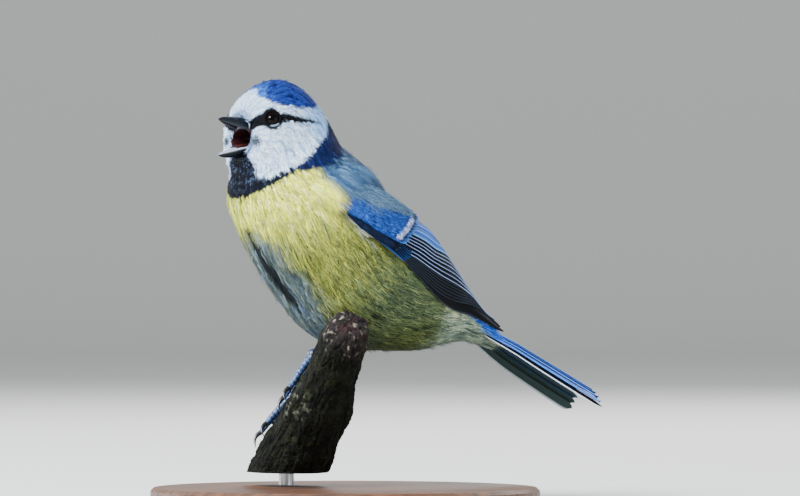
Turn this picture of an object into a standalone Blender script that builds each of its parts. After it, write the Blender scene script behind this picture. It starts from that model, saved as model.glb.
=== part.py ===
"""A blue tit, calling with its bill open, on a broken branch that a small display stand holds up.

The bird faces -X with its left side towards -Y, and +Z is up.
The origin is at the centre of the base's underside, on the surface that the stand rests on.
Every size and place below is in millimetres and degrees, and mesh_object turns it into metres.
"""

from math import cos, pi, radians, sin, sqrt, tan

import bmesh
import bpy
import numpy as np
from mathutils import Vector

MM = 0.001
GAP = 0.3  # room left between two pieces that touch

# The body's outline as its left side shows it, section by section from the bill to the tail.
# Each row: back x and z, belly x and z, half width, how much lower the widest point lies,
# heading of the body's axis away from the side view, and roll of the belly towards -Y.
BODY_SECTIONS = (
    (-24.0, 90.6, -24.0, 82.6, 4.2, 0.00, 36, 0),
    (-23.2, 94.6, -24.6, 80.8, 6.6, 0.05, 36, 0),
    (-20.0, 97.6, -25.3, 79.6, 8.8, 0.10, 36, 0),
    (-14.8, 99.2, -25.9, 78.6, 10.0, 0.12, 36, 0),
    (-10.1, 97.5, -26.3, 77.5, 10.4, 0.12, 35, 1),
    (-6.2, 93.6, -26.8, 76.2, 10.9, 0.08, 33, 2),
    (-3.6, 89.2, -27.2, 74.7, 12.2, 0.05, 32, 2),
    (-0.9, 84.0, -27.3, 72.4, 14.0, 0.03, 31, 3),
    (2.8, 80.9, -26.6, 69.2, 15.6, 0.02, 30, 3),
    (6.6, 77.4, -24.7, 64.0, 16.9, 0.0, 29, 4),
    (10.3, 71.7, -20.9, 56.5, 17.6, 0.0, 28, 4),
    (13.5, 66.5, -15.5, 48.3, 17.6, 0.0, 28, 5),
    (17.1, 63.0, -9.4, 41.4, 16.8, 0.0, 28, 6),
    (19.7, 59.6, -1.2, 38.1, 14.4, 0.0, 28, 8),
    (22.3, 56.1, 7.8, 37.2, 11.4, 0.0, 28, 10),
    (25.5, 52.2, 15.8, 37.0, 8.6, 0.0, 28, 12),
    (28.4, 48.5, 22.6, 38.2, 6.5, 0.0, 28, 14),
    (31.5, 44.4, 28.7, 38.4, 5.0, 0.0, 28, 15),
    (35.1, 41.6, 33.6, 37.0, 3.8, 0.0, 28, 15),
    (38.6, 38.9, 37.8, 35.2, 3.2, 0.0, 28, 15),
)
MIDDLE_SECTION = 8  # the section near which the body crosses x = 0 at y = 0
HEAD_END = 5.6
NECK_END = 8.4
TORSO_END = 17.8
BODY_SEGMENTS = 40
HEAD_RINGS = 26
NECK_RINGS = 12
TORSO_RINGS = 23

# Eyes, lids and mouth, placed by section number and by angle down from the crown.
EYE_SECTION = 2.18
EYE_ANGLE = 78
EYE_RADIUS = 1.95
EYE_OPENING = 1.6
LID_THICKNESS = 0.42
LID_RADIUS = 2.12
MOUTH_CENTRE = (-23.9, 86.1)
MOUTH_SIZE = (5.6, 3.9, 2.25)  # half length, half width, half height

# Bill: lengths along the head's axis from its base, with half widths and edges in height.
# Each row: distance from the base, half width, top edge, bottom edge.
HEAD_HEADING = 36
BILL_BASE = (-24.0, 90.6)
UPPER_BILL = (
    (0.3, 2.6, 91.0, 88.1),
    (2.0, 2.1, 91.2, 88.6),
    (3.8, 1.5, 91.25, 89.2),
    (5.4, 0.85, 91.1, 89.9),
    (6.6, 0.2, 90.8, 90.4),
)
LOWER_BILL = (
    (0.3, 2.4, 84.1, 82.2),
    (2.0, 2.0, 83.8, 81.8),
    (3.8, 1.4, 83.3, 81.5),
    (5.4, 0.8, 82.8, 81.6),
    (6.6, 0.2, 82.3, 81.95),
)
NOSTRIL = (1.5, 1.75, 90.2)
NOSTRIL_SIZE = (0.5, 0.3, 0.28)

# Folded wings: edges of the wing's patch by section, angle down from the back and height.
WING_TOP_EDGE = (
    (8.6, 76, 0.0),
    (9.9, 51, 0.3),
    (11.2, 26, 1.0),
    (12.8, 15, 1.6),
    (14.4, 13, 1.3),
    (16.2, 24, 0.2),
    (18.2, 62, 0.2),
)
WING_LOW_EDGE = (
    (8.68, 97, 0.0),
    (9.9, 89, 0.0),
    (11.2, 78, 0.1),
    (12.8, 81, 0.2),
    (14.4, 92, 0.4),
    (16.2, 95, 0.4),
    (18.2, 92, 0.4),
)
VANE_THICKNESS = 0.5
VANE_STEP = VANE_THICKNESS + GAP  # how far one vane lies above the next
VANE_TUCK = 0.37  # how much of a vane's width is tucked under the one above it
WING_COVERT_END = 0.29  # how far the bed of small feathers runs along the wing
WING_BED_THICKNESS = 1.35
# Where the long feathers end along the wing: tertials, secondaries and primaries from the top.
FLIGHT_ENDS = (0.60, 0.69, 0.76, 0.82, 0.87, 0.91, 0.945, 0.975, 1.0)
FLIGHT_ROOT = 0.21
FLIGHT_CLOSING = 3.5  # how late each feather's edge moves up towards the tip above it
FLIGHT_SPREAD = (0.27, 0.40)  # along the wing, where the vanes part from each other
# Rows of coverts: count, start, end, lift at the start and at the end, first and last edge.
COVERT_ROWS = (
    (7, 0.11, 0.32, 0.95, 2.0, 0.0, 0.86),
    (6, 0.04, 0.19, 0.85, 2.0, 0.06, 0.92),
    (2, 0.08, 0.36, 0.75, 1.0, 0.86, 1.04),
)

# Tail: its base, direction and section as a shallow arch.
TAIL_BASE = (31.4, 16.9, 42.0)
TAIL_SLOPE = 31.5
TAIL_HEADING = 28
TAIL_ROLL = 3
TAIL_LENGTH = 36.0
TAIL_HALF_WIDTH = (3.8, 6.2, 7.1, 7.5)
TAIL_ARCH = 64
TAIL_NOTCH = 2.6
TAIL_FEATHERS = 4  # on each side
TAIL_TUCK = 0.7
TAIL_ROOT_END = 0.16
TAIL_ROOT_THICKNESS = 2.2

# Branch: from the sawn lower end to the broken top.
BRANCH_FOOT = (-14.0, 8.5, 7.3)
BRANCH_TOP = (1.4, -19.2, 42.4)
BRANCH_RADII = (8.9, 8.9, 8.8, 8.6, 8.7, 8.5, 7.4, 6.2, 5.7, 5.6, 4.6)
BRANCH_LEVEL_END = 0.35  # height up to which its rings turn from the level saw cut to square
BRANCH_SEGMENTS = 30
GRIP_DEPTH = 2.3  # how far the branch's left edge is worn in where the feet hold it
GRIP_PLACE = (0.44, 0.27)  # height on the branch and half its spread
BRANCH_RINGS = 26

# Legs and feet. Each row: side of the body, heel, height on the branch from 0 to 1,
# angle round the branch of the ball of the foot, and slant of the front toes down the branch.
HIP_LEFT = (6.5, -1.5, 44.0)
HIP_RIGHT = (2.0, 7.5, 45.0)
FEET = (
    ("left", HIP_LEFT, (0.6, 5.4, 41.5), 0.66, 42, 66),
    ("right", HIP_RIGHT, (-5.2, 13.2, 37.6), 0.37, 46, 64),
)
TARSUS_RADIUS = 0.85
PAD_HEIGHT = 3.0  # from the ball of the foot up to the shank
THIGH_RADIUS = 2.6
TOE_RADIUS = 0.85
TOE_TIP_RADIUS = 0.6
# Each row: name, length, turn from the middle toe, whether it points back.
TOES = (
    ("inner", 9.2, -20, False),
    ("middle", 12.2, 0, False),
    ("outer", 9.6, 20, False),
    ("hind", 7.6, 0, True),
)
CLAW_LENGTH = 4.2
HIND_CLAW_LENGTH = 5.2
CLAW_RADIUS = 0.55
CLAW_TURN = 0.45  # how much of a toe's slant down the branch its claw keeps

# Display stand.
BASE_RADIUS = 46.0
BASE_HEIGHT = 4.0
BASE_BEVEL = 0.8
BASE_SEGMENTS = 64
ROD_RADIUS = 1.8
ROD_SEGMENTS = 24


def clear_scene():
    """Remove the objects that the scene starts with."""
    for item in list(bpy.data.objects):
        bpy.data.objects.remove(item, do_unlink=True)


def material(name, colour, roughness, metallic=0.0):
    """A plain material from a linear colour, roughness and metallic value."""
    made = bpy.data.materials.new(name)
    made.use_nodes = True
    shader = made.node_tree.nodes["Principled BSDF"]
    shader.inputs["Base Color"].default_value = (*colour, 1.0)
    shader.inputs["Roughness"].default_value = roughness
    shader.inputs["Metallic"].default_value = metallic
    return made


def mesh_object(name, points, faces, finish=None):
    """A closed mesh object from points in millimetres, with its faces turned outwards."""
    mesh = bpy.data.meshes.new(name)
    shape = bmesh.new()
    corners = [shape.verts.new(Vector([float(c) * MM for c in point])) for point in points]
    for face in faces:
        shape.faces.new([corners[i] for i in face])
    bmesh.ops.recalc_face_normals(shape, faces=shape.faces)
    if shape.calc_volume(signed=True) < 0:
        bmesh.ops.reverse_faces(shape, faces=shape.faces)
    shape.to_mesh(mesh)
    shape.free()
    item = bpy.data.objects.new(name, mesh)
    bpy.context.collection.objects.link(item)
    if finish:
        mesh.materials.append(finish)
    return item


def tube(name, rings, finish=None):
    """A closed tube through rings of points, each end closed by a fan round its centre."""
    rings = [np.asarray(ring, float) for ring in rings]
    count = len(rings[0])
    points = np.concatenate(rings + [[rings[0].mean(0)], [rings[-1].mean(0)]])
    faces = []
    for i in range(len(rings) - 1):
        for j in range(count):
            k = (j + 1) % count
            faces.append((i * count + j, i * count + k, (i + 1) * count + k, (i + 1) * count + j))
    first = len(rings) * count
    last = (len(rings) - 1) * count
    for j in range(count):
        k = (j + 1) % count
        faces.append((first, k, j))
        faces.append((first + 1, last + j, last + k))
    return mesh_object(name, points, faces, finish)


def slab(name, upper, lower, finish=None):
    """A closed sheet between two grids of points, split into triangles alike on both faces."""
    rows, columns = upper.shape[:2]
    points = np.concatenate([upper.reshape(-1, 3), lower.reshape(-1, 3)])
    half = rows * columns
    faces = []
    for i in range(rows - 1):
        for j in range(columns - 1):
            a, b = i * columns + j, i * columns + j + 1
            c, d = a + columns, b + columns
            faces += [(a, b, d), (a, d, c), (half + a, half + d, half + b), (half + a, half + c, half + d)]
    rim = [i for i in range(columns)]
    rim += [i * columns + columns - 1 for i in range(1, rows)]
    rim += [(rows - 1) * columns + i for i in range(columns - 2, -1, -1)]
    rim += [i * columns for i in range(rows - 2, 0, -1)]
    for i, a in enumerate(rim):
        b = rim[(i + 1) % len(rim)]
        faces += [(a, half + a, half + b), (a, half + b, b)]
    return mesh_object(name, points, faces, finish)


def smooth_row(rows, place):
    """The values at a place along rows of values, on a smooth curve through all of them."""
    rows = np.asarray(rows, float)
    place = np.clip(np.asarray(place, float), 0, len(rows) - 1 - 1e-9)
    i = place.astype(int)
    f = (place - i)[..., None]
    ends = np.vstack([2 * rows[0] - rows[1], rows, 2 * rows[-1] - rows[-2]])
    p, q, r, s = ends[i], ends[i + 1], ends[i + 2], ends[i + 3]
    return q + 0.5 * f * (r - p + f * (2 * p - 5 * q + 4 * r - s + f * (3 * q - p - 3 * r + s)))


def unit(vector):
    """The vector at length one."""
    vector = np.asarray(vector, float)
    return vector / np.linalg.norm(vector)


def axes(slope_direction, heading, roll):
    """Axis towards the tail, upward and leftward directions of a section of the body."""
    turn, lean = radians(heading), radians(roll)
    along = unit((slope_direction[0], tan(turn) * slope_direction[0], slope_direction[1]))
    level_left = np.array((sin(turn), -cos(turn), 0.0))
    level_up = np.cross(-along, level_left)
    up = level_up * cos(lean) - level_left * sin(lean)
    left = level_left * cos(lean) + level_up * sin(lean)
    return along, up, left


def section_frames():
    """Centre, half height, half width and lowness of every section, in the model's frame."""
    rows = []
    depth = 0.0
    before = None
    for back_x, back_z, belly_x, belly_z, half_width, low, heading, roll in BODY_SECTIONS:
        centre = np.array(((back_x + belly_x) / 2, 0.0, (back_z + belly_z) / 2))
        span = np.array((back_x - belly_x, 0.0, back_z - belly_z))
        reach = np.linalg.norm(span) / 2
        across = unit(span)
        _, up, left = axes((across[2], -across[0]), heading, roll)
        widened = (half_width * left.dot(across)) ** 2
        half_height = sqrt(max(reach**2 - widened, (0.5 * reach) ** 2)) / up.dot(across)
        if before is not None:
            depth += tan(radians(heading)) * (centre[0] - before)
        before = centre[0]
        centre[1] = depth
        rows.append(np.concatenate([centre, up * half_height, left * half_width, [low]]))
    rows = np.array(rows)
    later = rows[MIDDLE_SECTION:]
    rows[:, 1] -= np.interp(0.0, later[:, 0], later[:, 1])
    return rows


FRAMES = section_frames()


def body_point(section, angle):
    """A point of the body's surface, by section number and angle from the back towards the left."""
    row = smooth_row(FRAMES, section)
    centre, up, left, low = row[..., 0:3], row[..., 3:6], row[..., 6:9], row[..., 9:10]
    cosine, sine = np.cos(angle)[..., None], np.sin(angle)[..., None]
    return centre + up * cosine + left * sine * (1 - low * cosine)


def body_normal(section, angle):
    """The outward direction of the body's surface at a section and angle."""
    step = 0.02
    along = body_point(section + step, angle) - body_point(section - step, angle)
    round_it = body_point(section, angle + step) - body_point(section, angle - step)
    normal = np.cross(along, round_it)
    normal /= np.linalg.norm(normal, axis=-1, keepdims=True)
    outward = body_point(section, angle) - smooth_row(FRAMES, section)[..., 0:3]
    facing = np.sign(np.sum(normal * outward, axis=-1, keepdims=True))
    return normal * facing


def above_body(section, angle, height):
    """A point at a height above the body's surface."""
    section = np.asarray(section, float)
    angle = np.asarray(angle, float)
    height = np.asarray(height, float)
    return body_point(section, angle) + body_normal(section, angle) * height[..., None]


def body_axis(section):
    """The direction towards the tail, square to a section's plane."""
    row = smooth_row(FRAMES, np.array(section, float))
    return unit(np.cross(row[3:6], row[6:9]))


def body_rings(first, last, count, grow=0.0):
    """Rings round the body from one section to another, square cut and drawn in at each end."""
    angles = np.linspace(0, 2 * pi, BODY_SEGMENTS, endpoint=False)
    rings = []
    for section in np.linspace(first, last, count):
        place = np.full(BODY_SEGMENTS, section)
        rings.append(above_body(place, angles, np.full(BODY_SEGMENTS, grow)))
    return rings


def body_piece(name, first, last, count, finish):
    """A length of the body, cut square at both ends half a gap short of its neighbours."""
    rings = body_rings(first, last, count)
    rings[0] = rings[0] + body_axis(first) * GAP / 2
    rings[-1] = rings[-1] - body_axis(last) * GAP / 2
    return tube(name, rings, finish)


def torso_room():
    """A cutter that is the torso with a gap all round it."""
    rings = body_rings(NECK_END, TORSO_END, TORSO_RINGS, GAP)
    rings[-1] = rings[-1] + body_axis(TORSO_END) * GAP / 2
    return tube("torso_room", rings)


def ball(name, centre, radii, directions=np.eye(3), rings=10, segments=20):
    """An ellipsoid about a centre, with its half sizes along three directions."""
    directions = np.asarray(directions, float)
    centre = np.asarray(centre, float)
    made = []
    for i in range(1, rings):
        polar = pi * i / rings
        ring = []
        for j in range(segments):
            turn = 2 * pi * j / segments
            local = (radii[0] * cos(polar), radii[1] * sin(polar) * cos(turn), radii[2] * sin(polar) * sin(turn))
            ring.append(centre + np.asarray(local) @ directions)
        made.append(ring)
    item = tube(name, made)
    tips = item.data.vertices
    tips[len(tips) - 2].co = (centre + directions[0] * radii[0]) * MM
    tips[len(tips) - 1].co = (centre - directions[0] * radii[0]) * MM
    return item


def evaluate(item):
    """Apply an object's modifiers to its mesh."""
    graph = bpy.context.evaluated_depsgraph_get()
    made = bpy.data.meshes.new_from_object(item.evaluated_get(graph))
    item.modifiers.clear()
    item.data = made


def keep_largest(item):
    """Keep only the largest closed surface of an object's mesh."""
    shape = bmesh.new()
    shape.from_mesh(item.data)
    left = set(shape.verts)
    groups = []
    while left:
        start = left.pop()
        group, edge = {start}, [start]
        while edge:
            for link in edge.pop().link_edges:
                for vert in link.verts:
                    if vert not in group:
                        group.add(vert)
                        edge.append(vert)
        left -= group
        groups.append(group)
    groups.sort(key=extent)
    for group in groups[:-1]:
        bmesh.ops.delete(shape, geom=list(group), context="VERTS")
    bmesh.ops.triangulate(shape, faces=shape.faces)
    shape.to_mesh(item.data)
    shape.free()


def extent(group):
    """The length of the box round a group of a mesh's corners."""
    places = np.array([tuple(vert.co) for vert in group])
    return float(np.linalg.norm(places.max(0) - places.min(0)))


def combine(item, others, operation, solver="MANIFOLD"):
    """Join closed meshes to an object, or cut them from it, and remove them."""
    group = bpy.data.collections.new("pieces")
    bpy.context.scene.collection.children.link(group)
    for other in others:
        for owner in list(other.users_collection):
            owner.objects.unlink(other)
        group.objects.link(other)
    change = item.modifiers.new(operation, "BOOLEAN")
    change.operation = operation
    change.operand_type = "COLLECTION"
    change.collection = group
    change.solver = solver
    evaluate(item)
    for other in others:
        bpy.data.objects.remove(other, do_unlink=True)
    bpy.data.collections.remove(group)
    keep_largest(item)


def smooth(item, sharp_angle=40):
    """Shade a piece smooth, with edges sharper than an angle left sharp."""
    item.data.shade_smooth()
    item.data.set_sharp_from_angle(angle=radians(sharp_angle))


def circle_ring(centre, across, beside, radius, segments):
    """A ring of points about a centre in the plane of two directions."""
    turns = np.linspace(0, 2 * pi, segments, endpoint=False)[:, None]
    return np.asarray(centre) + radius * (np.cos(turns) * across + np.sin(turns) * beside)


def swept(name, path, radii, segments, finish=None):
    """A tube of changing radius along a path."""
    path = np.asarray(path, float)
    rings = []
    across = None
    for i, centre in enumerate(path):
        along = unit(path[min(i + 1, len(path) - 1)] - path[max(i - 1, 0)])
        if across is None:
            across = unit(np.cross(along, (0.3, 0.9, 0.2)))
        across = unit(across - along * across.dot(along))
        rings.append(circle_ring(centre, across, np.cross(along, across), radii[i], segments))
    return tube(name, rings, finish)


def eye_place(side):
    """Centre of the opening of the lids and the outward direction there."""
    angle = np.array(side * radians(EYE_ANGLE))
    section = np.array(EYE_SECTION)
    return body_point(section, angle), body_normal(section, angle)


def eye_centre(side):
    """Centre of an eyeball, sunk so that its rim just fills the opening of the lids."""
    place, outward = eye_place(side)
    return place - outward * sqrt(EYE_RADIUS**2 - EYE_OPENING**2)


def make_eye(name, side, finish):
    """An eyeball."""
    _, outward = eye_place(side)
    across = unit(np.cross(outward, (0, 0, 1)))
    size = (EYE_RADIUS,) * 3
    item = ball(name, eye_centre(side), size, (outward, across, np.cross(outward, across)), 10, 18)
    item.data.materials.append(finish)
    return item


def lid_ring(side):
    """The rim of both lids, a ring standing a little proud round the eye."""
    place, outward = eye_place(side)
    across = unit(np.cross(outward, (0, 0, 1)))
    beside = np.cross(outward, across)
    steps, sides = 24, 8
    rings = []
    for i in range(steps):
        turn = 2 * pi * i / steps
        away = across * cos(turn) + beside * sin(turn)
        middle = place + away * LID_RADIUS
        rings.append(circle_ring(middle, away, outward, LID_THICKNESS, sides))
    points = np.concatenate(rings)
    faces = []
    for i in range(steps):
        for j in range(sides):
            k, n = (j + 1) % sides, (i + 1) % steps
            faces.append((i * sides + j, i * sides + k, n * sides + k, n * sides + j))
    return mesh_object("lids", points, faces)


def head_axes():
    """Forward, left and up directions of the head."""
    turn = radians(HEAD_HEADING)
    forward = np.array((-cos(turn), -sin(turn), 0.0))
    left = np.array((sin(turn), -cos(turn), 0.0))
    return forward, left, np.array((0.0, 0.0, 1.0))


def on_midline(x, z):
    """A point of the head's plane of symmetry, from its place in the side view."""
    start = FRAMES[0][0:3]
    return np.array((x, start[1] + (x - start[0]) * tan(radians(HEAD_HEADING)), z))


def make_head(finish):
    """The head, with lids, eye sockets and the open mouth between the halves of the bill."""
    item = body_piece("head", 0.0, HEAD_END, HEAD_RINGS, finish)
    combine(item, [lid_ring(1), lid_ring(-1)], "UNION")
    sockets = []
    for side in (1, -1):
        size = (EYE_RADIUS + GAP,) * 3
        _, outward = eye_place(side)
        across = unit(np.cross(outward, (0, 0, 1)))
        turned = (outward, across, np.cross(outward, across))
        sockets.append(ball("socket", eye_centre(side), size, turned, 10, 18))
    mouth = ball("mouth", on_midline(*MOUTH_CENTRE), MOUTH_SIZE, head_axes(), 10, 20)
    combine(item, sockets + [mouth], "DIFFERENCE")
    smooth(item)
    return item


def bill_half(name, rows, hollow_side, finish):
    """One half of the bill, round outside and slightly hollow towards the mouth."""
    forward, left, up = head_axes()
    start = on_midline(*BILL_BASE)
    start[2] = 0.0
    places = np.linspace(0, len(rows) - 1, 13)
    rings = []
    for distance, half_width, top, bottom in smooth_row(rows, places):
        centre = start + forward * distance
        height = top - bottom
        rim = bottom if hollow_side < 0 else top
        rounded = height * (1 if hollow_side < 0 else -1)
        ring = []
        for i in range(9):
            turn = pi * i / 8
            ring.append(centre + left * half_width * cos(turn) + up * (rim + rounded * sin(turn)))
        for i in range(1, 4):
            part = i / 4
            hollow = 0.28 * rounded * sin(pi * part)
            ring.append(centre + left * half_width * (2 * part - 1) + up * (rim + hollow))
        rings.append(ring)
    item = tube(name, rings, finish)
    smooth(item, 35)
    return item


def make_upper_bill(finish):
    """The upper half of the bill, with its two nostrils."""
    item = bill_half("bill_upper", UPPER_BILL, -1, finish)
    forward, left, _ = head_axes()
    start = on_midline(*BILL_BASE)
    start[2] = 0.0
    cutters = []
    for side in (1, -1):
        place = start + forward * NOSTRIL[0] + left * side * NOSTRIL[1] + np.array((0, 0, NOSTRIL[2]))
        cutters.append(ball("nostril", place, NOSTRIL_SIZE, head_axes(), 6, 8))
    combine(item, cutters, "DIFFERENCE")
    return item


def wing_point(side, along, across, lift):
    """A point of a folded wing: along it from 0 to 1, across it from its top edge, and a lift."""
    place = np.asarray(along, float) * (len(WING_TOP_EDGE) - 1)
    top, low = smooth_row(WING_TOP_EDGE, place), smooth_row(WING_LOW_EDGE, place)
    mixed = top + (low - top) * np.asarray(across, float)[..., None]
    return above_body(mixed[..., 0], side * np.radians(mixed[..., 1]), mixed[..., 2] + lift)


def vane(place, places, edges, lifts):
    """A feather's vane: a thin strip over a surface, between two edges at two lifts.

    place gives a point from a place along, a place across and a lift. Both edges and both
    lifts are functions of the place along. The last row is drawn in to make the tip.
    """
    upper, lower = [], []
    for i, along in enumerate(places):
        last = i == len(places) - 1
        half = VANE_THICKNESS / (4 if last else 2)
        pair = np.array(edges(along), float)
        if last:
            pair = pair.mean() + (pair - pair.mean()) * 0.4
        lift = np.array(lifts(along), float)
        row = np.full(2, float(along))
        upper.append(place(row, pair, lift + half))
        lower.append(place(row, pair, lift - half))
    return slab("vane", np.array(upper), np.array(lower))


def blend(low, high, value):
    """From 0 to 1 as a value goes from low to high, with a soft start and end."""
    part = min(1.0, max(0.0, (value - low) / (high - low)))
    return part * part * (3 - 2 * part)


def flight_edge(order, along):
    """Upper edge of a long feather across the wing: it moves up as the feathers above it end."""
    if order == 0:
        return 0.0
    if order == len(FLIGHT_ENDS):
        return 1.0
    gone = (along - FLIGHT_ROOT) / (FLIGHT_ENDS[order - 1] - FLIGHT_ROOT)
    return order / len(FLIGHT_ENDS) * (1 - min(1.0, max(0.0, gone)) ** FLIGHT_CLOSING)


def flight_vane(side, order):
    """One tertial, secondary or primary, tucked under the feather above it."""
    end = FLIGHT_ENDS[order]
    before = FLIGHT_ENDS[order - 1] if order else FLIGHT_ROOT
    bed = GAP + VANE_THICKNESS / 2 + 0.05

    def edges(along):
        top, low = flight_edge(order, along), flight_edge(order + 1, along)
        return max(0.0, top - VANE_TUCK * (low - top)), low

    def lifts(along):
        rise = VANE_STEP * (1 + VANE_TUCK) * blend(*FLIGHT_SPREAD, along)
        if order == len(FLIGHT_ENDS) - 1:
            return bed, bed + rise * 0.3
        if order == 0:
            return bed + rise * 0.6, bed + rise
        return bed + rise * blend(before, end, along), bed + rise

    places = np.linspace(FLIGHT_ROOT, end, 8)
    return vane(lambda a, v, h: wing_point(side, a, v, h), places, edges, lifts)


def covert_vanes(side, count, start, end, low_lift, high_lift, first, last):
    """A row of coverts, rising from the wing's bed to lie over the roots of the next row."""
    made = []
    width = (last - first) / count
    for i in range(count):
        top = first + i * width

        def edges(along, top=top):
            return top, top + width * 0.86

        def lifts(along):
            lift = low_lift + (high_lift - low_lift) * (along - start) / (end - start)
            return lift - 0.1, lift + 0.1

        stagger = 0.03 * sin(pi * (i + 0.5) / count)
        places = np.linspace(start + stagger, end + stagger, 5)
        made.append(vane(lambda a, v, h: wing_point(side, a, v, h), places, edges, lifts))
    return made


def make_wing(name, side, finish):
    """A folded wing: a bed of small feathers that carries the coverts and the long vanes."""
    along, across = np.meshgrid(np.linspace(0, WING_COVERT_END, 9), np.linspace(0, 1, 9), indexing="ij")
    crown = np.sin(pi * np.clip(across, 0.05, 0.95)) ** 0.4
    swell = np.sin(pi * np.clip(0.1 + 0.85 * along / WING_COVERT_END, 0, 1)) ** 0.5
    upper = wing_point(side, along, across, GAP + 0.35 + WING_BED_THICKNESS * crown * swell)
    lower = wing_point(side, along, across, np.full(along.shape, GAP))
    item = slab(name, upper, lower, finish)
    feathers = [flight_vane(side, order) for order in range(len(FLIGHT_ENDS))]
    for row in COVERT_ROWS:
        feathers += covert_vanes(side, *row)
    combine(item, feathers, "UNION")
    smooth(item)
    return item


def tail_axes():
    """Directions of the tail: towards its tip, up and left."""
    slope = radians(TAIL_SLOPE)
    return axes((cos(slope), -sin(slope)), TAIL_HEADING, TAIL_ROLL)


def tail_point(along, angle, lift):
    """A point of the tail: along it from 0 to 1, by angle from its ridge, and a lift."""
    direction, up, left = tail_axes()
    along = np.asarray(along, float)
    angle = np.asarray(angle, float)
    half = smooth_row([[w] for w in TAIL_HALF_WIDTH], along * (len(TAIL_HALF_WIDTH) - 1))[..., 0]
    radius = half / sin(radians(TAIL_ARCH))
    reach = along * TAIL_LENGTH
    over = radius + np.asarray(lift, float)
    sideways, rise = over * np.sin(angle), over * np.cos(angle) - radius
    point = np.asarray(TAIL_BASE) + direction * reach[..., None]
    return point + left * sideways[..., None] + up * rise[..., None]


def tail_vane(side, order):
    """One tail feather, counted from the middle, each tucked under the one nearer the middle."""
    step = radians(TAIL_ARCH) / TAIL_FEATHERS
    outer = (order + 0.5) / TAIL_FEATHERS
    end = 1 - TAIL_NOTCH / TAIL_LENGTH * (1 - outer)
    middle_gap = 0.02 if order == 0 else -TAIL_TUCK * step

    def edges(along):
        return side * (order * step + middle_gap), side * (order + 1) * step

    def lifts(along):
        rise = VANE_STEP * (1 + TAIL_TUCK) * blend(0.05, 0.3, along)
        if order == 0:
            return rise * 0.5, rise * 0.5
        return -rise / 2, rise / 2

    places = [0.0, 0.12, 0.3, 0.5, 0.7, 0.88 * end, end]
    return vane(tail_point, places, edges, lifts)


def make_tail(finish):
    """The tail: vanes in two halves, the middle ones on top, joined at their root."""
    along, across = np.meshgrid(np.linspace(0, TAIL_ROOT_END, 4), np.linspace(-0.96, 0.96, 11), indexing="ij")
    angle = across * radians(TAIL_ARCH)
    half = TAIL_ROOT_THICKNESS / 2 * (1 - 0.85 * (along / TAIL_ROOT_END) ** 2)
    item = slab("tail", tail_point(along, angle, half), tail_point(along, angle, -half), finish)
    feathers = [tail_vane(side, order) for side in (1, -1) for order in range(TAIL_FEATHERS)]
    combine(item, feathers, "UNION")
    combine(item, [torso_room()], "DIFFERENCE")
    smooth(item)
    return item


def branch_axes():
    """Direction up the branch, and two directions across it: to the left edge and to the far side."""
    along = unit(np.asarray(BRANCH_TOP) - np.asarray(BRANCH_FOOT))
    far = unit(np.array((0.0, 1.0, 0.0)) - along * along[1])
    return along, unit(np.cross(along, far)), far


def branch_radius(height, angle):
    """Radius of the branch at a height from 0 to 1 and an angle from its left edge to its far side."""
    rows = [[r] for r in BRANCH_RADII]
    radius = smooth_row(rows, np.asarray(height, float) * (len(BRANCH_RADII) - 1))[..., 0]
    ripple = 0.025 * np.sin(3 * angle + 7 * height) + 0.018 * np.sin(5 * angle - 16 * height)
    worn = np.exp(-(((height - GRIP_PLACE[0]) / GRIP_PLACE[1]) ** 2)) * np.clip(np.cos(angle), 0, 1) ** 2
    return radius * (1 + ripple) - GRIP_DEPTH * worn


def on_branch(height, angle, lift):
    """A point at a lift above the branch's surface."""
    along, left, far = branch_axes()
    height = np.asarray(height, float)
    angle = np.asarray(angle, float)
    foot, top = np.asarray(BRANCH_FOOT), np.asarray(BRANCH_TOP)
    centre = foot + (top - foot) * height[..., None]
    away = left * np.cos(angle)[..., None] + far * np.sin(angle)[..., None]
    return centre + away * (branch_radius(height, angle) + lift)[..., None]


def make_branch(finish):
    """The branch, sawn off level at its foot and broken at its top."""
    angles = np.linspace(0, 2 * pi, BRANCH_SEGMENTS, endpoint=False)
    along, _, _ = branch_axes()
    rings = []
    for height in np.linspace(0, 1, BRANCH_RINGS):
        ring = on_branch(np.full(BRANCH_SEGMENTS, height), angles, 0.0)
        level = max(0.0, 1 - height / BRANCH_LEVEL_END)
        drop = (ring[:, 2] - ring[:, 2].mean()) * level / along[2]
        rings.append(ring - along * drop[:, None])
    top = rings[-1]
    for inset, rise in ((0.72, 1.0), (0.38, 1.5)):
        centre = top.mean(0)
        rough = 0.35 * np.sin(4 * angles + 1.0) + 0.25 * np.sin(7 * angles)
        rings.append(centre + (top - centre) * inset + along * (rise + rough * inset)[:, None])
    item = tube("perch", rings, finish)
    smooth(item, 60)
    return item


def toe_path(height, angle, slant, length, back, lift, steps):
    """A path over the branch's surface from the ball of a foot, turned down the branch by a slant."""
    branch_length = np.linalg.norm(np.asarray(BRANCH_TOP) - np.asarray(BRANCH_FOOT))
    way = 1 if back else -1
    stride = length / steps
    points = [on_branch(np.array(height), np.array(angle), lift)]
    for _ in range(steps):
        radius = float(branch_radius(np.array(height), np.array(angle))) + lift
        angle += way * stride * cos(radians(slant)) / radius
        height -= (1 if not back else -0.3) * stride * sin(radians(slant)) / branch_length
        points.append(on_branch(np.array(height), np.array(angle), lift))
    return points, height, angle


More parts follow.
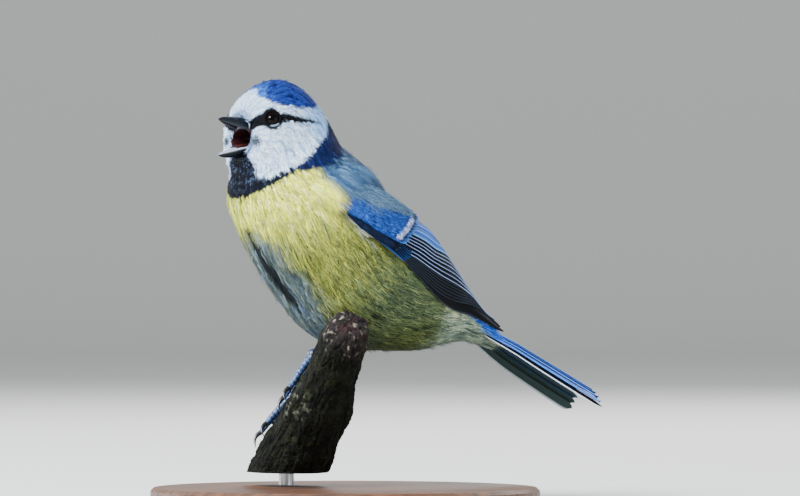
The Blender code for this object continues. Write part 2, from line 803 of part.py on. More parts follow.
def make_foot(name, height, angle, slant, skin, horn, ankle):
    """Four toes spread from the ball of the foot, and a claw for each."""
    pieces = []
    for toe, length, turn, back in TOES:
        lift = GAP + TOE_RADIUS
        lean = slant + turn if not back else slant
        path, end_height, end_angle = toe_path(height, radians(angle), lean, length, back, lift, 7)
        radii = np.linspace(TOE_RADIUS, TOE_TIP_RADIUS, len(path))
        pieces.append(swept("toe", path, radii, 8))
        claw_length = HIND_CLAW_LENGTH if back else CLAW_LENGTH
        tip, _, _ = toe_path(end_height, end_angle, lean * CLAW_TURN, claw_length, back, lift, 6)
        outward = unit(tip[0] - on_branch(np.array(end_height), np.array(end_angle), 0.0))
        ahead = unit(tip[1] - tip[0])
        claw = []
        for i, point in enumerate(tip):
            part = i / (len(tip) - 1)
            claw.append(point + ahead * (GAP + 0.05) + outward * (0.7 * sin(pi * part) - 0.45 * part))
        claw_radii = np.linspace(CLAW_RADIUS, 0.12, len(claw))
        item = swept(f"claw_{name}_{toe}", claw, claw_radii, 8, horn)
        smooth(item)
    ball_centre = on_branch(np.array(height), np.array(radians(angle)), GAP + TOE_RADIUS + 0.35)
    rise = unit(np.asarray(ankle) - ball_centre)
    pad = swept(f"foot_{name}", [ball_centre - rise * 0.3, ball_centre + rise * PAD_HEIGHT], (1.1, 0.95), 12, skin)
    combine(pad, pieces, "UNION")
    smooth(pad)
    return ball_centre + rise * PAD_HEIGHT, rise


def make_leg(name, hip, heel, ankle, skin):
    """Feathered thigh and bare shank, down to the ball of the foot."""
    hip, heel, ankle = (np.asarray(p, float) for p in (hip, heel, ankle))
    down = unit(heel - hip)
    shank = unit(ankle - heel)
    end = ankle - shank * GAP
    path = [hip, (hip + heel) / 2, heel - down * 1.2, heel + shank * 0.8, (heel + end) / 2, end]
    radii = (THIGH_RADIUS * 1.2, THIGH_RADIUS, 1.5, TARSUS_RADIUS * 1.2, TARSUS_RADIUS, TARSUS_RADIUS)
    item = swept(f"leg_{name}", path, radii, 12, skin)
    combine(item, [torso_room()], "DIFFERENCE")
    smooth(item)
    return item


def make_base(finish):
    """The round base of the stand."""
    rings = []
    inner = BASE_RADIUS - BASE_BEVEL
    for radius, height in (
        (inner, 0.0),
        (BASE_RADIUS, BASE_BEVEL / 2),
        (BASE_RADIUS, BASE_HEIGHT - BASE_BEVEL),
        (inner, BASE_HEIGHT),
    ):
        rings.append(circle_ring((0, 0, height), np.array((1, 0, 0)), np.array((0, 1, 0)), radius, BASE_SEGMENTS))
    item = tube("stand_base", rings, finish)
    smooth(item, 30)
    return item


def make_rod(finish):
    """The rod between the base and the branch's sawn end."""
    foot = (BRANCH_FOOT[0], BRANCH_FOOT[1], BASE_HEIGHT + GAP)
    top = (BRANCH_FOOT[0], BRANCH_FOOT[1], BRANCH_FOOT[2] - GAP)
    rings = []
    for end in (foot, top):
        rings.append(circle_ring(end, np.array((1, 0, 0)), np.array((0, 1, 0)), ROD_RADIUS, ROD_SEGMENTS))
    item = tube("stand_rod", rings, finish)
    smooth(item)
    return item


def build():
    """Make every piece."""
    clear_scene()
    white = material("white_face_feathers", (0.72, 0.79, 0.90), 0.85)
    navy = material("dark_blue_collar_feathers", (0.02, 0.03, 0.12), 0.8)
    yellow = material("yellow_breast_feathers", (0.62, 0.56, 0.16), 0.85)
    blue = material("blue_wing_feathers", (0.05, 0.14, 0.46), 0.6)
    tail_blue = material("blue_tail_feathers", (0.06, 0.18, 0.52), 0.6)
    slate = material("dark_horn_bill", (0.05, 0.055, 0.065), 0.4)
    dark_eye = material("dark_eye", (0.012, 0.009, 0.007), 0.08)
    scaled = material("blue_grey_leg_skin", (0.12, 0.16, 0.22), 0.55)
    black_horn = material("black_claw_horn", (0.02, 0.02, 0.022), 0.35)
    bark = material("dark_bark", (0.06, 0.045, 0.035), 0.9)
    wood = material("stained_wood", (0.10, 0.055, 0.03), 0.45)
    steel = material("brushed_steel", (0.55, 0.55, 0.56), 0.3, 1.0)

    make_head(white)
    neck = body_piece("neck", HEAD_END, NECK_END, NECK_RINGS, navy)
    smooth(neck)
    torso = body_piece("torso", NECK_END, TORSO_END, TORSO_RINGS, yellow)
    smooth(torso)
    make_eye("eye_left", 1, dark_eye)
    make_eye("eye_right", -1, dark_eye)
    make_upper_bill(slate)
    bill_half("bill_lower", LOWER_BILL, 1, slate)
    make_wing("wing_left", 1, blue)
    make_wing("wing_right", -1, blue)
    make_tail(tail_blue)
    make_branch(bark)
    for name, hip, heel, height, angle, slant in FEET:
        ankle, _ = make_foot(name, height, angle, slant, scaled, black_horn, heel)
        make_leg(name, hip, heel, ankle, scaled)
    make_base(wood)
    make_rod(steel)


build()
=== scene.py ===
"""Looks of a mounted blue tit, calling with its bill open, on a broken branch over a small stand.

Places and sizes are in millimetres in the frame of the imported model, and angles in degrees.
The bird faces -X with its left side towards -Y and the camera.
"""

from functools import partial
from math import cos, pi, radians, sin, sqrt, tan

import bpy
import numpy as np
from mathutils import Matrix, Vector, noise


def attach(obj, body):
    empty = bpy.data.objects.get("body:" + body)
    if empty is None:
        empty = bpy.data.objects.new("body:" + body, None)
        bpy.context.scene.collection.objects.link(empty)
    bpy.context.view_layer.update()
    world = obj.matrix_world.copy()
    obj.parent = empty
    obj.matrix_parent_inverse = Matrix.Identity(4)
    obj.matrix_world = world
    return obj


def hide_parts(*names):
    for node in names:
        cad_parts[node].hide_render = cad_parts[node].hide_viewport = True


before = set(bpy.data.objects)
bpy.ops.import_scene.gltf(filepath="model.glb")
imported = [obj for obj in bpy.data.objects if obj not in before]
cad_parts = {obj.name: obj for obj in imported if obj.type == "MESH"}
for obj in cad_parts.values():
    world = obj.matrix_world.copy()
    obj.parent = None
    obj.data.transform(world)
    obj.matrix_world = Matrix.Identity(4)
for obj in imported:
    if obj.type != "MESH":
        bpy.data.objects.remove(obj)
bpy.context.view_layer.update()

MM = 0.001
GAP = 0.3  # between neighbouring solids

# Body outline by section, from the bill to the tail: back x and z, belly x and z, half width,
# lowness of the widest point, heading and roll.
BODY_SECTIONS = (
    (-24.0, 90.6, -24.0, 82.6, 4.2, 0.00, 36, 0),
    (-23.2, 94.6, -24.6, 80.8, 6.6, 0.05, 36, 0),
    (-20.0, 97.6, -25.3, 79.6, 8.8, 0.10, 36, 0),
    (-14.8, 99.2, -25.9, 78.6, 10.0, 0.12, 36, 0),
    (-10.1, 97.5, -26.3, 77.5, 10.4, 0.12, 35, 1),
    (-6.2, 93.6, -26.8, 76.2, 10.9, 0.08, 33, 2),
    (-3.6, 89.2, -27.2, 74.7, 12.2, 0.05, 32, 2),
    (-0.9, 84.0, -27.3, 72.4, 14.0, 0.03, 31, 3),
    (2.8, 80.9, -26.6, 69.2, 15.6, 0.02, 30, 3),
    (6.6, 77.4, -24.7, 64.0, 16.9, 0.0, 29, 4),
    (10.3, 71.7, -20.9, 56.5, 17.6, 0.0, 28, 4),
    (13.5, 66.5, -15.5, 48.3, 17.6, 0.0, 28, 5),
    (17.1, 63.0, -9.4, 41.4, 16.8, 0.0, 28, 6),
    (19.7, 59.6, -1.2, 38.1, 14.4, 0.0, 28, 8),
    (22.3, 56.1, 7.8, 37.2, 11.4, 0.0, 28, 10),
    (25.5, 52.2, 15.8, 37.0, 8.6, 0.0, 28, 12),
    (28.4, 48.5, 22.6, 38.2, 6.5, 0.0, 28, 14),
    (31.5, 44.4, 28.7, 38.4, 5.0, 0.0, 28, 15),
    (35.1, 41.6, 33.6, 37.0, 3.8, 0.0, 28, 15),
    (38.6, 38.9, 37.8, 35.2, 3.2, 0.0, 28, 15),
)
MIDDLE_SECTION = 8
TORSO_END = 17.8

# Eyes, lids and mouth.
EYE_SECTION = 2.18
EYE_ANGLE = 78
EYE_RADIUS = 1.95
EYE_OPENING = 1.6
PUPIL_RADIUS = 1.0
LID_RADIUS = 1.95
LID_THICKNESS = 0.3
HEAD_HEADING = 36
MOUTH_CENTRE = (-24.0, 86.1)
MOUTH_HALF_SIZE = (3.8, 2.15)
MOUTH_DEPTH = 5.0
BILL_BASE = (-24.0, 90.6)
# Each row: distance from the base, half width, top edge, bottom edge.
UPPER_BILL = (
    (-1.2, 2.7, 90.9, 88.0),
    (0.3, 2.6, 91.0, 88.1),
    (2.0, 2.1, 91.2, 88.6),
    (3.8, 1.5, 91.25, 89.2),
    (5.4, 0.85, 91.1, 89.9),
    (6.6, 0.2, 90.8, 90.4),
)
LOWER_BILL = (
    (-1.2, 2.6, 84.2, 82.3),
    (0.3, 2.4, 84.1, 82.2),
    (2.0, 2.0, 83.8, 81.8),
    (3.8, 1.4, 83.3, 81.5),
    (5.4, 0.8, 82.8, 81.6),
    (6.6, 0.2, 82.3, 81.95),
)
NOSTRIL = (1.5, 1.75, 90.2)  # distance from the base, distance from the middle and height
BRISTLES = 900

# Folded wings, by section, angle down from the back and height over the body.
WING_TOP_EDGE = (
    (8.6, 76, 0.0),
    (9.9, 51, 0.3),
    (11.2, 26, 1.0),
    (12.8, 15, 1.6),
    (14.4, 13, 1.3),
    (16.2, 24, 0.2),
    (18.2, 62, 0.2),
)
# The lower edge reaches down over the flank so that the near-black primaries cover the gap under the wing, a
# dark sheet that stands for the shadow there.
WING_LOW_EDGE = (
    (8.68, 97, 0.0),
    (9.9, 89, 0.0),
    (11.2, 78, 0.1),
    (12.8, 81, 0.2),
    (14.4, 92, 0.4),
    (16.2, 95, 0.4),
    (18.2, 92, 0.4),
)
# Where the long feathers end along the wing: three tertials, six secondaries, seven primaries.
FLIGHT_ENDS = (0.60, 0.69, 0.76)
FLIGHT_ENDS += (0.82, 0.86, 0.89, 0.915, 0.935, 0.95)
FLIGHT_ENDS += (0.93, 0.945, 0.955, 0.965, 0.975, 0.985, 1.0)
TERTIALS = 3
SECONDARIES = 6
PRIMARIES = 7
FLIGHT_ROOT = 0.21
FLIGHT_CLOSING = 5.0  # how late a feather's lower edge turns up towards its tip
FLIGHT_WIDTH = (0.34, 0.13, 0.2)  # of a tertial, secondary and primary, as parts of the wing's width
FLIGHT_HEIGHT = (2.0, 0.085)  # of the first feather's outer edge, and how much lower each next one lies
FLIGHT_ROOT_LIFT = 0.7
FLIGHT_SLOPE = 0.35  # how far a feather's hidden edge lies below its outer edge
# How far across the wing the tertials and secondaries reach, by place along it.
BRIGHT_EDGE = (
    (0.21, 0.93), (0.35, 0.91), (0.42, 0.84), (0.56, 0.76),
    (0.7, 0.66), (0.84, 0.63), (0.93, 0.6), (1.0, 0.5),
)
# Lower edges of the tertials and secondaries as parts of that reach.
BRIGHT_SHARES = (0.0, 0.34, 0.5, 0.62, 0.685, 0.75, 0.81, 0.875, 0.94, 1.0)
LATE_SHARES = (0.0, 0.02, 0.05, 0.14, 0.28, 0.43, 0.57, 0.72, 0.86, 1.0)  # past the tertials' ends

# Tail.
TAIL_BASE = (31.4, 16.9, 42.0)
TAIL_SLOPE = 31.5
TAIL_HEADING = 28
TAIL_ROLL = 3
TAIL_LENGTH = 36.0
TAIL_HALF_WIDTH = (3.8, 6.2, 7.1, 7.5)
TAIL_ARCH = 64
TAIL_NOTCH = 2.6
TAIL_FEATHERS = 6  # on each side

# Branch and feet.
BRANCH_FOOT = (-14.0, 8.5, 7.3)
BRANCH_TOP = (1.4, -19.2, 42.4)
BRANCH_RADII = (8.9, 8.9, 8.8, 8.6, 8.7, 8.5, 7.4, 6.2, 5.7, 5.6, 4.6)
BRANCH_LEVEL_END = 0.35
GRIP_DEPTH = 2.3  # how far the branch's left edge is worn in where the feet hold it
GRIP_PLACE = (0.44, 0.27)  # middle and reach, as parts of the branch's height
KNOT = (0.52, radians(-50))  # height and angle on the branch
# Each foot: name, hip, heel, height and angle of its ball on the branch, and slant of its toes.
FEET = (
    ("left", (6.5, -1.5, 44.0), (0.6, 5.4, 41.5), 0.66, 42, 66),
    ("right", (2.0, 7.5, 45.0), (-5.2, 13.2, 37.6), 0.37, 46, 64),
)
TARSUS_RADIUS = 0.85
PAD_HEIGHT = 3.0
TOE_RADIUS = 0.85
TOE_TIP_RADIUS = 0.6
# Each toe: name, length, turn away from the foot's slant and whether it points back.
TOES = (
    ("inner", 9.2, -20, False),
    ("middle", 12.2, 0, False),
    ("outer", 9.6, 20, False),
    ("hind", 7.6, 0, True),
)
CLAW_LENGTH = 4.2
HIND_CLAW_LENGTH = 5.2
CLAW_RADIUS = 0.55
CLAW_TURN = 0.45  # of the toe's slant
SCUTE_LENGTH = 1.1
THIGH_TUFTS = 800

# Colours of the plumage, sRGB.
CAP_BLUE = "#1C3888"
CAP_LIGHT = "#3E7EDA"
WHITE = "#D6EAFF"
WHITE_BLUE = "#A0C8F6"
STRIPE_BLACK = "#04060C"
COLLAR_BLUE = "#0F1E4C"
BIB_BLACK = "#060B18"
BIB_FROST = "#5C7094"
MANTLE_BLUE = "#36597A"
MANTLE_PALE = "#7E9EBA"
BREAST_YELLOW = "#DEE04E"
BREAST_PALE = "#F4F69A"
FLANK_OLIVE = "#787E38"
# Dark grey-olive of the rear flank, partly its own colour and partly painted shade.
FLANK_DARK_AND_SHADE = "#56684C"
BELLY_GREY = "#58686E"
BELLY_STRIPE = "#0B1118"
VENT_GREY = "#57643A"
UNDERTAIL_PALE = "#8EA08A"
WISP_PALE = "#F0F4C4"
UPPERTAIL_DARK = "#1C3C70"
UPPERTAIL_BLUE = "#2A6CE0"

# Colours of bare parts and of the branch.
# The mouth's reds are darker than the tissue's own colour, as painted shade inside the open mouth, and the
# throat deepest in is darkest.
MOUTH_RED = "#260C0A"
LINING_AND_THROAT_SHADE = ("#100507", "#2E1014")  # of the throat and of the rim of the mouth
TONGUE_RED = "#3A1815"
PUPIL_BLACK = "#030303"
IRIS_BROWN = "#0B0504"
LID_DARK = "#020204"
LID_PALE = "#76869A"
CLAW_BLACK = "#17171A"
SCUTE_CREASE = "#050912"
SCUTE_BLUE = "#5674AE"
BARK_DARK = "#060703"
BARK_WARM = "#13130C"
BARK_PALE = "#221D1E"
BARK_STAIN = "#342022"
LICHEN = "#6A6E5C"
LICHEN_PALE = "#8E8676"

# Coat, zone by zone: name, first and last section, number of tufts, length, width, blades.
COAT_ZONES = (
    ("face", 0.04, 1.9, 9000, 1.25, 0.45, 5),
    ("head", 1.9, 5.7, 12000, 2.2, 0.75, 7),
    ("collar", 5.7, 8.2, 10500, 3.2, 0.8, 7),
    ("breast", 8.2, 12.2, 10500, 5.4, 1.3, 11),
    ("belly", 12.2, 17.3, 8800, 6.0, 1.3, 11),
)
# How much the tone of neighbouring barbs differs, by section.
STREAKS = (
    (0, 0.14), (2, 0.3), (5.6, 0.3), (6.1, 0.42), (7.2, 0.4), (8, 0.28), (9.5, 0.36), (12, 0.44), (18, 0.4),
)
COAT_SLOTS = {"face": "face_feathers", "head": "face_feathers", "collar": "collar_feathers"}
COAT_DEPTH = 0.9  # how far the skin lies inside the solids on the body
FACE_COAT_DEPTH = 0.35
BAKE_MARGIN = 0.02
BAKE_SECTIONS = 19.0  # over the height of the unwrap
BLADE_PATCH = (0.0004, 0.0012)  # size of one blade's patch on the unwrap
PATCH_SPREAD = 0.001  # of the patches of a tuft's blades

rng = np.random.default_rng(7)


def linear(code):
    """A linear colour from an sRGB hex code."""
    parts = np.array([int(code[i : i + 2], 16) / 255 for i in (1, 3, 5)])
    return np.where(parts <= 0.04045, parts / 12.92, ((parts + 0.055) / 1.055) ** 2.4)


def step(low, high, value):
    """From 0 to 1 as a value goes from low to high, with a soft start and end."""
    part = np.clip((np.asarray(value, float) - low) / (high - low), 0, 1)
    return part * part * (3 - 2 * part)


def over(below, above, part):
    """Colours with others laid over them by a part. Either may be an sRGB hex code."""
    below, above = (linear(colour) if isinstance(colour, str) else colour for colour in (below, above))
    return below + (above - below) * np.asarray(part)[..., None]


def limit(rows, value):
    """A boundary's value at a place, between rows of place and value."""
    rows = np.asarray(rows, float)
    return np.interp(value, rows[:, 0], rows[:, 1])


def half_turn(angle):
    """An angle brought to between half a turn back and half a turn ahead."""
    return np.arctan2(np.sin(angle), np.cos(angle))


def ring_angles(count):
    """Angles spaced evenly round a ring."""
    return np.linspace(0, 2 * pi, count, endpoint=False)


def ring_round(centre, first, second, turns):
    """Points round a centre, by angles from one direction towards another."""
    return centre + np.outer(np.cos(turns), first) + np.outer(np.sin(turns), second)


def unit(vector):
    """Vectors at length one."""
    vector = np.asarray(vector, float)
    return vector / np.maximum(np.linalg.norm(vector, axis=-1, keepdims=True), 1e-12)


def smooth_row(rows, place):
    """The values at a place along rows of values, on a smooth curve through all of them."""
    rows = np.asarray(rows, float)
    place = np.clip(np.asarray(place, float), 0, len(rows) - 1 - 1e-9)
    i = place.astype(int)
    f = (place - i)[..., None]
    ends = np.vstack([2 * rows[0] - rows[1], rows, 2 * rows[-1] - rows[-2]])
    p, q, r, s = ends[i], ends[i + 1], ends[i + 2], ends[i + 3]
    return q + 0.5 * f * (r - p + f * (2 * p - 5 * q + 4 * r - s + f * (3 * q - p - 3 * r + s)))


def axes(slope_direction, heading, roll):
    """Axis towards the tail, upward and leftward directions of a section of the body."""
    turn, lean = radians(heading), radians(roll)
    along = unit((slope_direction[0], tan(turn) * slope_direction[0], slope_direction[1]))
    level_left = np.array((sin(turn), -cos(turn), 0.0))
    level_up = np.cross(-along, level_left)
    up = level_up * cos(lean) - level_left * sin(lean)
    left = level_left * cos(lean) + level_up * sin(lean)
    return along, up, left


def section_frames():
    """Centre, half height, half width and lowness of every section, in the model's frame."""
    rows = []
    depth = 0.0
    before = None
    for back_x, back_z, belly_x, belly_z, half_width, low, heading, roll in BODY_SECTIONS:
        centre = np.array(((back_x + belly_x) / 2, 0.0, (back_z + belly_z) / 2))
        span = np.array((back_x - belly_x, 0.0, back_z - belly_z))
        reach = np.linalg.norm(span) / 2
        across = unit(span)
        _, up, left = axes((across[2], -across[0]), heading, roll)
        widened = (half_width * left.dot(across)) ** 2
        half_height = sqrt(max(reach**2 - widened, (0.5 * reach) ** 2)) / up.dot(across)
        if before is not None:
            depth += tan(radians(heading)) * (centre[0] - before)
        before = centre[0]
        centre[1] = depth
        rows.append(np.concatenate([centre, up * half_height, left * half_width, [low]]))
    rows = np.array(rows)
    later = rows[MIDDLE_SECTION:]
    rows[:, 1] -= np.interp(0.0, later[:, 0], later[:, 1])
    return rows


FRAMES = section_frames()


def body_point(section, angle):
    """A point of the body's surface, by section number and angle from the back to the left."""
    row = smooth_row(FRAMES, section)
    centre, up, left, low = row[..., 0:3], row[..., 3:6], row[..., 6:9], row[..., 9:10]
    cosine, sine = np.cos(angle)[..., None], np.sin(angle)[..., None]
    return centre + up * cosine + left * sine * (1 - low * cosine)


def body_normal(section, angle):
    """The outward direction of the body's surface."""
    reach = 0.02
    along = body_point(section + reach, angle) - body_point(section - reach, angle)
    round_it = body_point(section, angle + reach) - body_point(section, angle - reach)
    normal = unit(np.cross(along, round_it))
    outward = body_point(section, angle) - smooth_row(FRAMES, section)[..., 0:3]
    return normal * np.sign(np.sum(normal * outward, axis=-1, keepdims=True))


def section_size(section, angle):
    """How many millimetres of the body's surface make up one section."""
    reach = 0.05
    ahead, behind = body_point(section + reach, angle), body_point(section - reach, angle)
    return np.linalg.norm(ahead - behind, axis=1) / (2 * reach)


def above_body(section, angle, height):
    """A point at a height above the body's surface."""
    section, angle, height = (np.asarray(v, float) for v in (section, angle, height))
    return body_point(section, angle) + body_normal(section, angle) * height[..., None]


def marked(rows):
    """Points on the left side of the body from rows of section and angle in degrees."""
    rows = np.asarray(rows, float)
    return body_point(rows[:, 0], np.radians(rows[:, 1]))


def far_from_line(points, line):
    """Distance of each point from a line through several points."""
    best = np.full(len(points), 1e9)
    for a, b in zip(line[:-1], line[1:]):
        span = b - a
        part = np.clip((points - a) @ span / span.dot(span), 0, 1)
        best = np.minimum(best, np.linalg.norm(points - (a + part[:, None] * span), axis=1))
    return best


def make_mesh(name, points, faces, finish, colours=None, bake=None, vane=None):
    """An object from arrays of points in millimetres and faces, with colours and UV maps."""
    mesh = bpy.data.meshes.new(name)
    faces = np.asarray(faces, np.int32)
    corners = faces.reshape(-1)
    mesh.vertices.add(len(points))
    mesh.vertices.foreach_set("co", (np.asarray(points, np.float32) * MM).reshape(-1))
    mesh.loops.add(len(corners))
    mesh.loops.foreach_set("vertex_index", corners)
    mesh.polygons.add(len(faces))
    mesh.polygons.foreach_set("loop_start", np.arange(0, len(corners), faces.shape[1], dtype=np.int32))
    mesh.update(calc_edges=True)
    mesh.validate()
    if colours is not None:
        layer = mesh.color_attributes.new("plumage", "FLOAT_COLOR", "POINT")
        values = np.ones((len(points), 4), np.float32)
        values[:, :3] = colours
        layer.data.foreach_set("color", values.reshape(-1))
    for layer_name, values in (("OFBake", bake), ("vane", vane)):
        if values is not None:
            layer = mesh.uv_layers.new(name=layer_name)
            layer.data.foreach_set("uv", np.asarray(values, np.float32)[corners].reshape(-1))
    mesh.shade_smooth()
    item = bpy.data.objects.new(name, mesh)
    bpy.context.scene.collection.objects.link(item)
    mesh.materials.append(finish)
    return item


def place_piece(item, slot, *nodes):
    """Put a piece on the model's one body and in place of CAD nodes, if any. The slot is not used."""
    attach(item, "root")
    if nodes:
        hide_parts(*nodes)


def smooth_value(values, part):
    """A value at a part of the way along a row of them, on a smooth curve through all of them."""
    return smooth_row([[value] for value in values], np.asarray(part, float) * (len(values) - 1))[..., 0]


def grid_faces(rows, columns, closed=False):
    """Four-cornered faces over a grid of points, closed across its columns if asked."""
    i, j = np.meshgrid(np.arange(rows - 1), np.arange(columns if closed else columns - 1), indexing="ij")
    k = (j + 1) % columns
    here, ahead = i * columns, (i + 1) * columns
    return np.stack([here + j, here + k, ahead + k, ahead + j], -1).reshape(-1, 4)


def tube(rings):
    """Points and faces of a tube through rings, drawn to a point at both ends."""
    rings = np.asarray(rings, float)
    first = np.repeat(rings[0].mean(0)[None, None], rings.shape[1], axis=1)
    last = np.repeat(rings[-1].mean(0)[None, None], rings.shape[1], axis=1)
    rings = np.concatenate([first, rings, last])
    return rings.reshape(-1, 3), grid_faces(len(rings), rings.shape[1], True)


def joined(parts):
    """One set of points, faces and further arrays from several of them."""
    points, faces, others = [], [], []
    count = 0
    for part in parts:
        points.append(part[0])
        faces.append(part[1] + count)
        others.append(part[2:])
        count += len(part[0])
    further = [np.concatenate(column) for column in zip(*others)]
    return np.concatenate(points), np.concatenate(faces), *further


# Plumage markings


# Edges of the markings as rows of section and angle from the back, unless their name ends in FRONT,
# BACK or WIDTH. FRONT and BACK rows are of angle and section, and WIDTH rows of section and half width.
CAP_FRONT = ((0, 1.95), (12, 1.88), (25, 1.62), (60, 1.5))
CAP_BACK = ((0, 5.35), (36, 5.0))
CAP_EDGE = ((1.58, 26), (2.18, 54), (2.88, 65), (3.83, 63), (4.8, 45), (5.35, 0))
EYE_STRIPE = ((0.2, 60), (0.75, 68), (1.3, 73), (2.18, 78), (3.0, 80), (3.85, 77), (4.5, 70), (5.4, 53))
EYE_STRIPE_WIDTH = ((0.2, 1.2), (1.3, 1.5), (2.9, 1.2), (3.6, 0.85), (4.7, 0.5), (5.4, 0.3))
GAPE_CORNER = (0.95, 110)
CHEEK_BACK = (
    (0, 5.35), (45, 5.93), (60, 6.05), (78, 6.1), (91, 6.18),
    (106, 6.12), (119, 5.95), (140, 5.85), (180, 5.8),
)
CHEEK_LOW = ((0.0, 146), (1.43, 151), (4.1, 153), (5.0, 147), (5.88, 134), (6.3, 120))
COLLAR_BACK = (
    (0, 6.9), (60, 7.2), (78, 7.15), (96, 6.85), (109, 6.5),
    (125, 6.52), (138, 6.6), (152, 6.78), (166, 6.98), (180, 7.0),
)
MANTLE_LOW = (
    (6.5, 84), (8.0, 92), (8.7, 92), (9.4, 84), (10.6, 72), (11.4, 60), (13.1, 50), (15.0, 40), (18.0, 34),
)
WING_FRINGE = ((8.9, 100), (9.35, 98), (9.85, 94), (10.6, 89))
BELLY_EDGE = (
    (8.4, 176), (8.88, 166), (9.55, 157), (10.23, 151), (11.1, 152), (12.05, 158), (12.73, 156), (13.65, 156),
)
BELLY_LINE = ((8.95, 180), (9.3, 179), (9.73, 178), (10.38, 176), (10.85, 175), (11.3, 176))
BELLY_LINE_WIDTH = ((8.9, 0.38), (9.5, 1.425), (10.0, 1.9), (10.5, 1.805), (10.9, 1.14), (11.3, 0.38))
UPPERTAIL_LOW = ((15.2, 70), (15.48, 90), (16.0, 92), (16.4, 100), (16.9, 110), (17.5, 122), (18.0, 130))
# How deep the painted shade in the streaks between rows of barbs is.
BARB_SHADE_DEPTH = {"white": 0.32, "cap": 0.6, "collar": 0.55, "mantle": 0.4, "breast": 0.2, "flank": 0.4}
# How much more or less than green the painted shade of a streak darkens red and blue.
COLD_BARB_SHADE = np.array((1.2, 1.0, 0.7))
WARM_BARB_SHADE = np.array((1.1, 1.0, 0.8))


